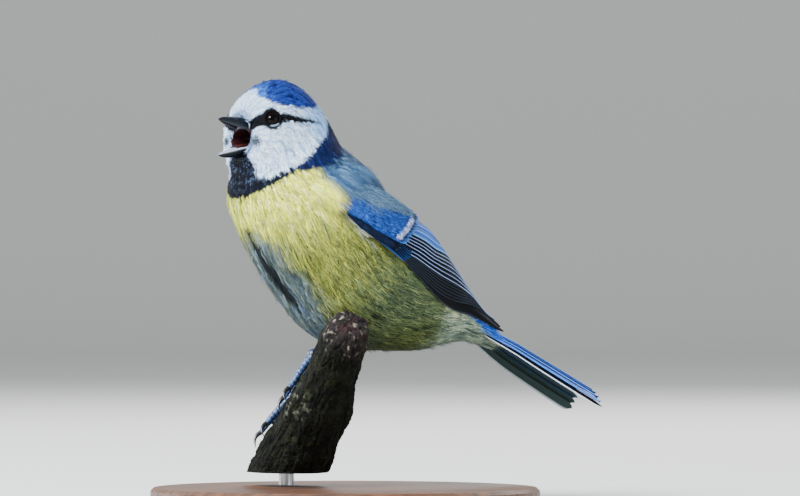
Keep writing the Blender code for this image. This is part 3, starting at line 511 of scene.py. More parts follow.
def markings(section, angle):
    """Colour of the plumage at a place, for the coat and for the skin below it."""
    section = np.asarray(section, float).reshape(-1)
    angle = np.asarray(angle, float).reshape(-1)
    lie = np.abs(half_turn(angle))
    down = np.degrees(lie)
    here, mirrored = body_point(section, angle), body_point(section, lie)

    # Soft patches, fine ones, and streaks along the lie of the feathers, all from -1 to 1.
    wave = np.sin(here @ np.array((1.9, 0.8, 1.3))) * np.sin(here @ np.array((-0.7, 1.7, 0.9)) + 1.0)
    fine = np.sin(here @ np.array((4.7, 2.9, 5.3))) * np.sin(here @ np.array((-3.1, 5.9, 3.7)))
    streak = 0.75 * np.sin(37 * lie + 1.5 * np.sin(2.1 * section) + wave)
    streak = streak + 0.55 * np.sin(58 * lie - 1.7 * section + 1.3 * wave)
    # Painted shade along the streaks between rows of barbs.
    shade_between_barbs = step(-0.2, 1.0, streak)

    def shaded_between_barbs(base, depth, tint=COLD_BARB_SHADE):
        return base * (1 - (depth * shade_between_barbs)[:, None] * tint)

    # White face, bluer behind the eye and over it.
    behind = step(3.2, 5.2, section) * step(80, 60, down)
    colour = over(WHITE, WHITE_BLUE, np.clip(0.3 * step(-0.2, 1.0, fine) + behind, 0, 1))
    colour = shaded_between_barbs(colour, BARB_SHADE_DEPTH["white"])

    # Blue cap, lightest at its front.
    past_front = section - limit(CAP_FRONT, down)
    cap = step(-0.15, 0.15, past_front) * step(-3, 3, limit(CAP_EDGE, section) - down)
    cap *= step(-0.12, 0.12, limit(CAP_BACK, down) - section)
    blue = over(CAP_LIGHT, CAP_BLUE, step(-0.1, 0.9, past_front + 0.3 * wave))
    colour = over(colour, shaded_between_barbs(blue, BARB_SHADE_DEPTH["cap"]), cap)

    # Black stripe through the eye and ring round the eye, and painted shade in the corner of the gape and along
    # the edge of the mouth.
    stripe = far_from_line(mirrored, marked(EYE_STRIPE)) - limit(EYE_STRIPE_WIDTH, section)
    corners = marked(((EYE_SECTION, EYE_ANGLE), GAPE_CORNER))
    eye, gape = (np.linalg.norm(mirrored - corner, axis=1) for corner in corners)
    black = np.maximum(step(0.25, -0.25, stripe), step(2.95, 2.5, eye))
    black = np.maximum(black, step(1.9, 0.7, gape + 0.7 * fine) * 0.9)
    black = np.maximum(black, step(0.2, 0.05, section) * step(80, 88, down) * step(140, 132, down))
    colour = over(colour, STRIPE_BLACK, black)

    # Dark collar and frosted bib round the cheeks.
    collar = shaded_between_barbs(over(COLLAR_BLUE, BIB_BLACK, step(85, 125, down)), BARB_SHADE_DEPTH["collar"])
    frost = step(0.35, 0.9, fine) * step(120, 140, down) * step(7.0, 4.5, section)
    collar = over(collar, BIB_FROST, frost * 0.6)
    cheek = step(-0.06, 0.06, limit(CHEEK_BACK, down) - section)
    colour = over(collar, colour, cheek * step(-3, 3, limit(CHEEK_LOW, section) - down))

    # Yellow breast that turns olive and then dark along the flank, with a pale fringe by the wing. The dark is
    # partly the flank's own grey-olive and partly painted shade, starting further forward on the side below the
    # wing.
    side = step(155, 105, down)
    flank = over(BREAST_YELLOW, BREAST_PALE, step(-0.3, 1.0, wave) * 0.7)
    flank = over(flank, FLANK_OLIVE, step(8.3, 10.4, section + 0.25 - 0.3 * side + 0.2 * wave) * 0.94)
    flank = over(flank, FLANK_DARK_AND_SHADE, step(10.8, 13.4, section + 0.8 * side + 0.3 * wave) * 0.85)
    fringe = far_from_line(mirrored, marked(WING_FRINGE))
    flank = over(flank, WHITE, step(0.6, 0.2, fringe + 0.2 * fine) * 0.2)

    # Grey belly with a black stripe, and the vent.
    belly = step(-11, 9, down + 6 * wave - limit(BELLY_EDGE, section)) * step(8.5, 9.5, section)
    flank = over(flank, over(BELLY_GREY, WHITE_BLUE, step(0.4, 1.0, fine) * 0.35), belly * 0.9)
    stripe = far_from_line(here, marked(BELLY_LINE)) - limit(BELLY_LINE_WIDTH, section)
    flank = over(flank, BELLY_STRIPE, step(0.5, -0.5, stripe + 0.3 * wave) * 0.97)
    flank = over(flank, VENT_GREY, step(12.4, 13.8, section + 0.2 * wave) * step(105, 135, down))
    flank = over(flank, UNDERTAIL_PALE, step(14.5, 15.6, section + 0.2 * wave))
    wisps = step(14.4, 15.0, section) * step(16.4, 15.7, section) * step(114, 104, down)
    flank = over(flank, WISP_PALE, wisps * step(-0.6, 0.5, streak) * 0.9)
    deeper = (BARB_SHADE_DEPTH["flank"] - BARB_SHADE_DEPTH["breast"]) * step(8.6, 11.5, section)
    flank = shaded_between_barbs(flank, BARB_SHADE_DEPTH["breast"] + deeper, WARM_BARB_SHADE)

    # Blue-grey mantle and blue uppertail coverts.
    mantle = over(MANTLE_BLUE, MANTLE_PALE, 0.04 + 0.3 * step(-0.5, 1.0, wave))
    mantle = shaded_between_barbs(mantle, BARB_SHADE_DEPTH["mantle"])
    body = over(flank, mantle, step(-5, 5, limit(MANTLE_LOW, section) - down))
    uppertail = step(-4, 4, limit(UPPERTAIL_LOW, section) - down) * step(15.3, 15.8, section)
    body = over(body, over(UPPERTAIL_DARK, UPPERTAIL_BLUE, step(15.6, 16.8, section)), uppertail)
    return over(colour, body, step(-0.09, 0.09, section - limit(COLLAR_BACK, down)))


# Finishes


def add_node(tree, kind, settings=None, values=None, links=None):
    """Add a node with its settings, the values of its inputs and the links into it."""
    made = tree.nodes.new(kind)
    for name, value in (settings or {}).items():
        setattr(made, name, value)
    for place, value in (values or {}).items():
        made.inputs[place].default_value = value
    for place, (other, output) in (links or {}).items():
        tree.links.new(other.outputs[output], made.inputs[place])
    return made


def new_finish(name):
    """An empty material and its node tree."""
    made = bpy.data.materials.new(name)
    made.use_nodes = True
    made.node_tree.nodes.clear()
    return made, made.node_tree


def add_noise(tree, size, stretch=None, **values):
    """Noise with blotches of a size in millimetres, drawn out along an axis if asked."""
    source = (add_node(tree, "ShaderNodeTexCoord"), "Object")
    if stretch:
        mapping = add_node(tree, "ShaderNodeMapping", values={"Scale": stretch}, links={"Vector": source})
        source = (mapping, "Vector")
    values["Scale"] = 1 / (size * MM)
    return add_node(tree, "ShaderNodeTexNoise", values=values, links={"Vector": source}), "Fac"


def add_range(tree, source, low, high, to_low, to_high):
    """A value carried from one span to another."""
    values = {"From Min": low, "From Max": high, "To Min": to_low, "To Max": to_high}
    return add_node(tree, "ShaderNodeMapRange", values=values, links={"Value": source}), "Result"


def add_ramp(tree, source, *stops):
    """A colour between two, by a value; each stop is a position and an sRGB hex code."""
    made = add_node(tree, "ShaderNodeValToRGB", links={"Fac": source})
    for element, (position, code) in zip(made.color_ramp.elements, stops):
        element.position = position
        element.color = (*linear(code), 1)
    return made, "Color"


def add_bump(tree, source, strength, depth, invert=False):
    """Relief of a depth in millimetres."""
    values = {"Strength": strength, "Distance": depth * MM}
    return add_node(tree, "ShaderNodeBump", {"invert": invert}, values, {"Height": source}), "Normal"


def painted_colour(tree, tone=None):
    """The colours painted on a piece, made lighter and darker by a tone if there is one."""
    colour = add_node(tree, "ShaderNodeVertexColor", {"layer_name": "plumage"}), "Color"
    if tone:
        colour = add_node(tree, "ShaderNodeHueSaturation", links={"Color": colour, "Value": tone}), "Color"
    return colour


def add_surface(tree, values, **sources):
    """Close a material with a shader of some values; sources are its colour, normal or roughness."""
    names = {"colour": "Base Color", "normal": "Normal", "roughness": "Roughness"}
    links = {names[name]: source for name, source in sources.items()}
    shader = add_node(tree, "ShaderNodeBsdfPrincipled", values=values, links=links)
    add_node(tree, "ShaderNodeOutputMaterial", links={"Surface": (shader, "BSDF")})


def coat_finish():
    """Contour feathers: soft matt keratin barbs."""
    made, tree = new_finish("contour_feathers")
    tone = add_range(tree, add_noise(tree, 0.6, Detail=3.0), 0.3, 0.7, 0.82, 1.12)
    values = {"Roughness": 0.78, "Specular IOR Level": 0.12, "IOR": 1.55}
    add_surface(tree, values, colour=painted_colour(tree, tone))
    return made


def vane_finish():
    """Flight and tail feathers: smooth closed vanes whose barbs run aslant from the shaft."""
    made, tree = new_finish("closed_feather_vanes")
    place = add_node(tree, "ShaderNodeUVMap", {"uv_map": "vane"})
    # Real barbs lie about 0.1 mm apart; they are drawn 0.35 mm apart so that the render shows them.
    barbs = add_node(
        tree,
        "ShaderNodeTexWave",
        {"wave_type": "BANDS", "bands_direction": "X", "wave_profile": "SIN"},
        values={"Scale": 0.9, "Distortion": 0.6, "Detail": 1.0},
        links={"Vector": (place, "UV")},
    )
    colour = painted_colour(tree, add_range(tree, (barbs, "Fac"), 0.0, 1.0, 0.86, 1.08))
    values = {"Roughness": 0.6, "Specular IOR Level": 0.07, "IOR": 1.55}
    add_surface(tree, values, colour=colour, normal=add_bump(tree, (barbs, "Fac"), 0.35, 0.05))
    return made


def horn_finish(name, roughness, streak, shine):
    """Horn of the bill and claws: grown keratin, satin, with fine streaks along its growth."""
    made, tree = new_finish(name)
    grain = add_noise(tree, streak, Detail=4.0)
    colour = painted_colour(tree, add_range(tree, grain, 0.3, 0.7, 0.75, 1.2))
    values = {"Roughness": roughness, "IOR": 1.54, "Specular IOR Level": shine}
    add_surface(tree, values, colour=colour, normal=add_bump(tree, grain, 0.25, 0.05))
    return made


def scale_finish():
    """Bare skin of shanks and toes: dry horny scales, blue grey, satin."""
    made, tree = new_finish("blue_grey_scaled_skin")
    place = add_node(tree, "ShaderNodeTexCoord")
    cells = add_node(
        tree, "ShaderNodeTexVoronoi", values={"Scale": 1 / (0.35 * MM)}, links={"Vector": (place, "Object")}
    )
    colour = painted_colour(tree, add_range(tree, (cells, "Distance"), 0.0, 0.6, 1.2, 0.5))
    bump = add_bump(tree, (cells, "Distance"), 0.5, 0.08, invert=True)
    add_surface(tree, {"Roughness": 0.35, "IOR": 1.5}, colour=colour, normal=bump)
    return made


def eye_finish():
    """Eye: dark brown iris behind a clear wet cornea, almost a mirror."""
    made, tree = new_finish("wet_dark_eye")
    values = {"Roughness": 0.03, "IOR": 1.38, "Specular IOR Level": 0.14}
    add_surface(tree, values, colour=painted_colour(tree))
    return made


def lid_finish():
    """Bare rims of the eyelids: dry, matt, finely wrinkled skin."""
    made, tree = new_finish("bare_lid_skin")
    bump = add_bump(tree, add_noise(tree, 0.2), 0.4, 0.04)
    add_surface(tree, {"Roughness": 0.8, "Specular IOR Level": 0.1}, colour=painted_colour(tree), normal=bump)
    return made


def mouth_finish():
    """Lining of the mouth and tongue: soft moist tissue."""
    made, tree = new_finish("moist_mouth_lining")
    bump = add_bump(tree, add_noise(tree, 0.8, Detail=2.0), 0.4, 0.15)
    values = {"Roughness": 0.35, "IOR": 1.38, "Subsurface Weight": 0.2, "Subsurface Scale": 0.5 * MM}
    add_surface(tree, values, colour=painted_colour(tree), normal=bump)
    return made


def bark_finish():
    """Old weathered bark: dark rough cork with a little moss on it."""
    made, tree = new_finish("weathered_bark")
    coarse = add_noise(tree, 3.0, Detail=6.0, Roughness=0.65)
    fine = add_noise(tree, 0.5, Detail=4.0, Roughness=0.7)
    colour = painted_colour(tree, add_range(tree, fine, 0.3, 0.7, 0.45, 1.7))
    moss = add_range(tree, coarse, 0.56, 0.66, 0.0, 0.6)
    # Inputs 6 and 7 and output 2 of a mix of colours are its two colours and its result.
    mossy = add_node(
        tree, "ShaderNodeMix", {"data_type": "RGBA"}, {7: (*linear("#2A3018"), 1)}, {0: moss, 6: colour}
    )
    values = {"Roughness": 0.92, "Specular IOR Level": 0.15}
    add_surface(tree, values, colour=(mossy, 2), normal=add_bump(tree, fine, 0.8, 0.3))
    return made


def wood_finish():
    """Base: turned hardwood, stained dark and waxed, with straight grain."""
    made, tree = new_finish("stained_turned_oak")
    grain = add_noise(tree, 1.6, (0.12, 1.0, 1.0), Detail=6.0, Roughness=0.6, Distortion=0.4)
    colour = add_ramp(tree, grain, (0.35, "#2E1B10"), (0.65, "#6B4227"))
    values = {"Roughness": 0.5, "Coat Weight": 0.1, "Coat Roughness": 0.3}
    add_surface(tree, values, colour=colour, normal=add_bump(tree, grain, 0.2, 0.1))
    return made


def steel_finish():
    """Rod: brushed stainless steel, fine lines round it."""
    made, tree = new_finish("brushed_stainless_steel")
    lines = add_noise(tree, 0.15, (0.05, 0.05, 1.0), Detail=3.0)
    rough = add_range(tree, lines, 0.0, 1.0, 0.25, 0.42)
    values = {"Base Color": (*linear("#C4C4C6"), 1), "Metallic": 1.0}
    add_surface(tree, values, roughness=rough, normal=add_bump(tree, lines, 0.1, 0.02))
    return made


def floor_finish():
    """Floor: matt pale paper."""
    made, tree = new_finish("matt_pale_paper")
    colour = add_ramp(tree, add_noise(tree, 2.0), (0.0, "#D6D6D0"), (1.0, "#DEDED8"))
    add_surface(tree, {"Roughness": 0.9}, colour=colour)
    return made


# Skin and coat


def coat_depth(section):
    """How far the skin lies inside the solids."""
    return FACE_COAT_DEPTH + (COAT_DEPTH - FACE_COAT_DEPTH) * step(1.5, 8.0, section)


def unwrapped(across, along):
    """A place of the unwrap for baking, inside its thin margin."""
    return np.stack([BAKE_MARGIN + (1 - 2 * BAKE_MARGIN) * part for part in (across, along)], -1)


def bake_place(section, angle):
    """Place of a point of the body on an unwrap of the skin's own shape."""
    return unwrapped(half_turn(angle) / (2 * pi) + 0.5, section / BAKE_SECTIONS)


def eye_place(side):
    """Centre of the opening of the lids and the outward direction there."""
    angle = np.array(side * radians(EYE_ANGLE))
    section = np.array(EYE_SECTION)
    return body_point(section, angle), body_normal(section, angle)


def head_axes():
    """Forward, left and up directions of the head."""
    turn = radians(HEAD_HEADING)
    forward = np.array((-cos(turn), -sin(turn), 0.0))
    left = np.array((sin(turn), -cos(turn), 0.0))
    return forward, left, np.array((0.0, 0.0, 1.0))


def on_midline(x, z):
    """A point of the head's plane of symmetry, from its place in the side view."""
    start = FRAMES[0][0:3]
    return np.array((x, start[1] + (x - start[0]) * tan(radians(HEAD_HEADING)), z))


def mouth_rings(segments, scale=1.0):
    """Rings from the back of the throat out to the rim of the open mouth."""
    forward, left, up = head_axes()
    centre = on_midline(*MOUTH_CENTRE)
    rings = []
    for depth, size in ((1.0, 0.25), (0.92, 0.55), (0.7, 0.8), (0.35, 0.94), (0.0, 1.0)):
        across = left * MOUTH_HALF_SIZE[0] * size * scale
        high = up * MOUTH_HALF_SIZE[1] * size * scale
        middle = centre - forward * (depth * MOUTH_DEPTH)
        rings.append(ring_round(middle, high, across, ring_angles(segments)))
    return rings


def make_skin(finish):
    """One skin from the rim of the mouth to the root of the tail, in the coat's colours."""
    segments, count = 160, 260
    places = np.linspace(0.0, TORSO_END, count)
    section, angle = np.meshgrid(places, ring_angles(segments), indexing="ij")
    rings = above_body(section, angle, -coat_depth(section))
    inner = np.array(mouth_rings(segments))
    points, faces = tube(np.concatenate([inner, rings]))
    colours = np.repeat(linear(MOUTH_RED)[None], len(points), 0)
    first = (1 + len(inner)) * segments
    last = first + section.size
    # The skin is a fifth darker than the coat, painted shade where it shows between the tufts.
    colours[first:last] = markings(section, angle) * 0.8
    colours[last:] = linear(UNDERTAIL_PALE)
    bake = np.zeros((len(points), 2))
    bake[first:last] = bake_place(section, angle).reshape(-1, 2)
    item = make_mesh("skin", points, faces, finish, colours, bake)
    place_piece(item, "breast_feathers", "head", "neck", "torso")


def scattered(first, last, count):
    """Places spread evenly over the body's surface between two sections."""
    rows, columns = 120, 180
    high, wide = (last - first) / rows, 2 * pi / columns
    section = np.linspace(first, last, rows + 1)
    angle = np.linspace(-pi, pi, columns + 1)
    middles = ((section[:-1] + section[1:]) / 2, (angle[:-1] + angle[1:]) / 2)
    s, a = np.meshgrid(*middles, indexing="ij")
    across = body_point(s, a + 0.01) - body_point(s, a - 0.01)
    along = body_point(s + 0.01, a) - body_point(s - 0.01, a)
    area = np.linalg.norm(np.cross(along, across), axis=-1).reshape(-1)
    cell = rng.choice(len(area), size=count, p=area / area.sum())
    i, j = cell // columns, cell % columns
    return section[i] + rng.random(count) * high, angle[j] + rng.random(count) * wide


def under_wing(section, angle):
    """Which places of the body a folded wing hides well, and which lie under it or near its edges."""
    down = np.degrees(np.abs(half_turn(angle)))
    top, low = limit(WING_TOP_EDGE, section), limit(WING_LOW_EDGE, section)
    hidden = (section > 9.0) & (down > top + 8) & (down < low - 4)
    return hidden, (section > 9.6) & (down > top - 10) & (down < low + 12)


def tufts(places, normals, width, blades, lift, colours, bake, streaks=0.12):
    """Tufts of thin tapering blades that lie along a surface.

    places and normals are lists of those of the tufts' roots, middles and tips, and a list of one
    row of normals does for all three. streaks is how much the blades of a tuft differ in tone.
    """
    root, middle, tip = (place[:, None] for place in places)
    normal, middle_normal, tip_normal = (row[:, None] for row in normals * (3 // len(normals)))
    shape = (len(root), blades)
    spread = np.linspace(-1, 1, blades)[None, :] + rng.normal(0, 0.12, shape)
    reach = (1 - 0.18 * spread**2 + rng.normal(0, 0.09, shape))[..., None]
    length = np.linalg.norm(tip - root, axis=2)
    across = unit(np.cross(normal, unit(tip - root)))
    blade = (width / blades * 0.62)[:, None, None] * across
    stray = (length * rng.normal(0, 0.045, shape))[..., None] * across
    rise = (lift[:, None] * (1 - 0.35 * spread**2) * rng.uniform(0.6, 1.3, shape))[..., None]
    side = (width[:, None] * spread * 0.5)[..., None] * across
    base = root + side * 0.45 - normal * 0.1
    centre = root + (middle - root) * reach + side + middle_normal * rise * 1.1
    end = root + (tip - root) * reach + side * 1.05 + stray + tip_normal * rise
    points = np.stack([base - blade * 0.8, base + blade * 0.8, centre - blade, centre + blade, end], 2)
    start = np.arange(len(root) * blades)[:, None, None] * 5
    faces = (start + np.array(((0, 1, 3), (0, 3, 2), (2, 3, 4)))).reshape(-1, 3)

    # Blades differ in tone and a fifth of them are dark. All are darkest at the root, painted shade where the
    # tufts overlap.
    rough = np.broadcast_to(np.asarray(streaks, float), (len(root),))[:, None]
    tone = 1 + rough * rng.normal(0, 1, shape) - 1.4 * rough * (rng.random(shape) < 0.2)
    tone = np.clip(tone, 0.15, 1.8)[..., None] * np.array((0.6, 0.6, 0.96, 0.96, 1.1))
    shaded = colours[:, None, None] * tone[..., None] ** np.array((1.25, 1.0, 0.75))
    corners = np.array(((-0.3, -1), (0.3, -1), (-0.5, 0.2), (0.5, 0.2), (0, 1))) * BLADE_PATCH
    moved = np.stack([spread * PATCH_SPREAD, np.zeros(shape)], -1)
    patch = bake[:, None, None] + corners + moved[:, :, None]
    return points.reshape(-1, 3), faces, np.clip(shaded, 0, 1).reshape(-1, 3), patch.reshape(-1, 2)


def make_coat(finish):
    """The coat: tufts over the skin that follow the lie of the feathers, from bill to tail."""
    eyes = [eye_place(1)[0], eye_place(-1)[0]]
    for name, first, last, count, length, width, blades in COAT_ZONES:
        section, angle = scattered(first, last, count)
        hidden, beside = under_wing(section, angle)
        near_eye = np.minimum(*(np.linalg.norm(body_point(section, angle) - eye, axis=1) for eye in eyes))
        kept = ~hidden & (near_eye > LID_RADIUS + 0.1)
        section, angle, near_eye, beside = section[kept], angle[kept], near_eye[kept], beside[kept]
        count = len(section)

        # Length and direction of each tuft: shorter by the eyes and over the root of the tail.
        reach = length * rng.uniform(0.75, 1.2, count)
        if name in ("face", "head"):
            reach = np.minimum(reach, 0.7 + 0.8 * np.maximum(near_eye - LID_RADIUS, 0))
        run = reach / np.maximum(section_size(section, angle), 2.0)
        above_tail = (section > 15.5) & (np.cos(angle) > -0.1)
        run = np.where(above_tail, np.minimum(run, 0.35), run)
        turn = rng.normal(0, 0.09, count) * reach / 10
        middle_section = section + run * 0.55
        root = above_body(section, angle, -coat_depth(section) * 0.8)
        middle = above_body(middle_section, angle + turn * 0.55, 0)
        tip = above_body(section + run, angle + turn, 0)

        # Tones differ from tuft to tuft, less where they are pale. A few tufts stand up.
        colours = markings(section + run * 0.7, angle + turn * 0.7)
        streaks = limit(STREAKS, section) * (1 - 0.35 * np.clip(colours.mean(1), 0, 1))
        colours = colours * (1 + streaks * rng.normal(0, 0.6, count))[:, None]
        loose = np.where(rng.random(count) < 0.04, 2.5, 1.0)
        loose = np.where(beside | above_tail, 0.35, loose)
        slot = COAT_SLOTS.get(name, "breast_feathers")
        on_left = angle % (2 * pi) < pi
        for side, part in (("left", on_left), ("right", ~on_left)):
            normals = [body_normal(s[part], angle[part]) for s in (section, middle_section, section + run)]
            points, faces, shaded, patch = tufts(
                (root[part], middle[part], tip[part]),
                normals,
                np.full(part.sum(), width) * rng.uniform(0.8, 1.2, part.sum()),
                blades,
                (0.1 + 0.04 * length) * rng.uniform(0.4, 1.3, part.sum()) * loose[part],
                np.clip(colours[part], 0.001, 1),
                bake_place(section[part], angle[part]),
                streaks[part],
            )
            place_piece(make_mesh(f"coat_{name}_{side}", points, faces, finish, shaded, patch), slot)


# Wings and tail


def on_wing(side, along, across):
    """Section, angle and height over the body of a place along and across a folded wing."""
    place = np.asarray(along, float) * (len(WING_TOP_EDGE) - 1)
    top, low = smooth_row(WING_TOP_EDGE, place), smooth_row(WING_LOW_EDGE, place)
    mixed = top + (low - top) * np.asarray(across, float)[..., None]
    return mixed[..., 0], side * np.radians(mixed[..., 1]), mixed[..., 2]


def wing_point(side, along, across, lift):
    """A point of a folded wing: along it and across it from 0 to 1, and a lift."""
    section, angle, height = on_wing(side, along, across)
    return above_body(section, angle, height + lift)


def tail_axes():
    """Directions of the tail: towards its tip, up and left."""
    slope = radians(TAIL_SLOPE)
    return axes((cos(slope), -sin(slope)), TAIL_HEADING, TAIL_ROLL)


def tail_point(along, angle, lift):
    """A point of the tail: along it from 0 to 1, by angle from its ridge, and a lift."""
    direction, up, left = tail_axes()
    along, angle = np.asarray(along, float), np.asarray(angle, float)
    radius = smooth_value(TAIL_HALF_WIDTH, along) / sin(radians(TAIL_ARCH))
    over = radius + np.asarray(lift, float)
    sideways, rise = over * np.sin(angle), over * np.cos(angle) - radius
    point = np.asarray(TAIL_BASE) + direction * (along * TAIL_LENGTH)[..., None]
    return point + left * sideways[..., None] + up * rise[..., None]


ACROSS_VANE = np.array(
    (0.0, 0.08, 0.2, 0.34, 0.44, 0.47, 0.5, 0.6, 0.7, 0.76, 0.8, 0.84, 0.88, 0.91, 0.94, 0.97, 1.0)
)
VANE_THICKNESS = 0.16
SHAFT_PLACE = 0.47  # across the vane
SHAFT_WIDTH = 0.03
SHAFT_HEIGHT = 0.1


def vane(place, start, end, edges, lifts, paint, round_tip, rows, camber):
    """One feather's vane with its shaft: points, faces, colours and barb coordinates.

    place gives a point from a place along, a place across and a lift. edges and lifts give the
    two edges of the vane and their lifts for places along it. paint gives its colours from the
    part of its length and of its width. round_tip is the part of its length that is rounded.
    """
    part = 1 - (1 - np.linspace(0, 1, rows)) ** 1.25
    along = start + (end - start) * part
    first, second = edges(along)
    middle, half = (first + second) / 2, (second - first) / 2
    tip = np.clip((part - (1 - round_tip)) / round_tip, 0, 1)
    half = half * np.sqrt(np.maximum(1 - tip**2, 0.02))
    low_lift, high_lift = lifts(along)
    w = ACROSS_VANE[None]
    columns = w.shape[1]
    across = middle[:, None] + half[:, None] * (2 * w - 1)
    lift = low_lift[:, None] + (high_lift - low_lift)[:, None] * w
    ridge = SHAFT_HEIGHT * np.exp(-(((w - SHAFT_PLACE) / SHAFT_WIDTH) ** 2)) * (1 - 0.8 * part[:, None])
    lift = lift + camber * np.sin(pi * w) + ridge
    spread = np.repeat(along[:, None], columns, 1)
    upper = place(spread, across, lift + VANE_THICKNESS / 2)
    lower = place(spread, across, lift - VANE_THICKNESS / 2)
    points = np.concatenate([upper.reshape(-1, 3), lower.reshape(-1, 3)])

    top = grid_faces(rows, columns)
    under = top[:, ::-1] + rows * columns
    root_edge, tip_edge = np.arange(columns), (rows - 1) * columns + np.arange(columns - 2, -1, -1)
    sides = np.arange(1, rows) * columns + columns - 1, np.arange(rows - 2, 0, -1) * columns
    rim = np.concatenate([root_edge, sides[0], tip_edge, sides[1]])
    ahead = np.roll(rim, -1)
    edge = np.stack([rim, rim + rows * columns, ahead + rows * columns, ahead], -1)

    t, v = np.meshgrid(part, w[0], indexing="ij")
    colours = np.concatenate([paint(t, v, below).reshape(-1, 3) for below in (False, True)])
    length = np.linalg.norm(np.diff(upper[:, columns // 2], axis=0), axis=1).sum()
    width = np.linalg.norm(upper[rows // 2, -1] - upper[rows // 2, 0])
    slant = part[:, None] * length - np.abs(w - SHAFT_PLACE) * width * 1.2
    barb = np.stack([slant, np.repeat(w * width, rows, 0)], -1).reshape(-1, 2)
    return points, np.concatenate([top, under, edge]), colours, np.concatenate([barb, barb])


def painted(web, edge, tip, under, rim_start, tip_start, inner, narrowing=0.0, under_edge="#20282A"):
    """Colours of a vane from those of its outer web, outer edge, tip, underside and inner web.

    rim_start and tip_start are where its edge and its tip begin, as parts of its width and length.
    narrowing is how much thinner the edge gets towards the tip.
    """

    def paint(t, v, below):
        if below:
            return over(under, under_edge, step(0.78, 0.9, v))
        start = 1 - (1 - rim_start) * (1 - narrowing * step(0.65, 0.95, t))
        colour = over(inner, web, step(0.3, 0.5, v))
        colour = over(colour, edge, step(start - 0.03, start + 0.03, v))
        colour = over(colour, tip, step(tip_start, tip_start + 0.1, t))
        shaft = np.exp(-(((v - SHAFT_PLACE) / SHAFT_WIDTH) ** 2))[..., None]
        return colour * (1 - 0.35 * shaft)

    return paint


def flight_edge(order, along):
    """Lower edge of the long feather before this one: it moves up towards that feather's tip."""
    bright = limit(BRIGHT_EDGE, along)
    inner = TERTIALS + SECONDARIES
    if order == 0:
        return np.zeros_like(along)
    if order == inner + PRIMARIES:
        return np.ones_like(along)
    gone = np.clip((along - FLIGHT_ROOT) / (FLIGHT_ENDS[order - 1] - FLIGHT_ROOT), 0, 1)
    if order <= inner:
        late = step(0.45, 0.8, along)
        edge = bright * (BRIGHT_SHARES[order] * (1 - late) + LATE_SHARES[order] * late)
    else:
        edge = bright + (1 - bright) * (order - inner) / PRIMARIES
    return edge * (1 - gone**FLIGHT_CLOSING)


def flight_kind(order):
    """0 for a tertial, 1 for a secondary and 2 for a primary."""
    return (order >= TERTIALS) + (order >= TERTIALS + SECONDARIES)


# Paint of tertials, secondaries and primaries. The primaries' near black is partly their own dark colour and
# partly painted shade for the gap under the wing.
FLIGHT_PAINT = (
    ("#2A60B6", "#6CA2EA", "#7FA8E0", "#20262E", 0.92, 0.95, "#12306A"),
    ("#03060F", "#A0B6EE", "#7E90C0", "#15191E", 0.95, 0.97, "#03060F", 0.3),
    ("#04060A", "#262E3C", "#06080C", "#15191E", 0.95, 0.97, "#03050A", 0.7),
)


def long_feather(side, order):
    """One tertial, secondary or primary."""
    kind = flight_kind(order)
    outer_lift = FLIGHT_HEIGHT[0] - FLIGHT_HEIGHT[1] * order

    def edges(along):
        low = flight_edge(order + 1, along)
        return np.maximum(0.0, low - FLIGHT_WIDTH[kind] * (1 + 6 * step(0.68, 0.88, along))), low

    def lifts(along):
        part = step(FLIGHT_ROOT, 0.36, along)
        high = FLIGHT_ROOT_LIFT + (outer_lift - FLIGHT_ROOT_LIFT) * part
        return high - FLIGHT_SLOPE * part, high

    place, paint = partial(wing_point, side), painted(*FLIGHT_PAINT[kind])
    return vane(place, FLIGHT_ROOT, FLIGHT_ENDS[order], edges, lifts, paint, 0.08, 28, 0.06)


# Rows of coverts: name, count, start, length, first and last edge, lift at the root and tip.
COVERT_ROWS = (
    ("lesser", 7, -0.017, 0.07, 0.0, 1.0, 0.9, 1.9),
    ("lesser", 8, 0.025, 0.07, 0.0, 1.0, 1.0, 2.1),
    ("lesser", 8, 0.067, 0.07, 0.0, 0.98, 1.0, 2.2),
    ("lesser", 9, 0.108, 0.07, 0.0, 0.94, 1.0, 2.3),
    ("lesser", 9, 0.146, 0.075, 0.0, 0.92, 1.1, 2.4),
    ("median", 9, 0.17, 0.09, 0.0, 0.9, 1.2, 2.5),
    ("greater", 11, 0.2, 0.13, 0.0, 0.88, 1.3, 2.5),
    ("alula", 3, 0.15, 0.17, 0.84, 1.03, 0.7, 1.6),
    ("primary", 6, 0.22, 0.16, 0.84, 1.05, 0.8, 1.6),
)
COVERT_PAINT = {
    "lesser": ("#0E3AA0", "#1E55BC", "#2860C8", "#20262E", 0.8, 0.86, "#0A2C7C"),
    "median": ("#0E3AA0", "#2058BE", "#2E68CC", "#20262E", 0.8, 0.84, "#0A2664"),
    "greater": ("#0A1C48", "#1E4FA4", "#3E74C0", "#20262E", 0.8, 0.84, "#050C1E"),
    "alula": ("#060B18", "#14305E", "#5C7CB0", "#20262E", 0.9, 0.95, "#04070F"),
    "primary": ("#0A1838", "#23508E", "#1E467E", "#20262E", 0.8, 0.93, "#050B18"),
}


def covert(side, kind, start, length, first, last, low_lift, high_lift):
    """One covert of the wing."""

    def edges(along):
        part = (along - start) / length
        wide = (last - first) * (0.45 + 0.2 * step(0.0, 0.5, part))
        middle = (first + last) / 2
        return middle - wide, middle + wide

    def lifts(along):
        part = (along - start) / length
        lift = low_lift + (high_lift - low_lift) * np.sqrt(np.clip(part, 0, 1))
        return lift + 0.12, lift - 0.12

    place, paint = partial(wing_point, side), painted(*COVERT_PAINT[kind])
    return vane(place, start, start + length, edges, lifts, paint, 0.45, 12, 0.3)


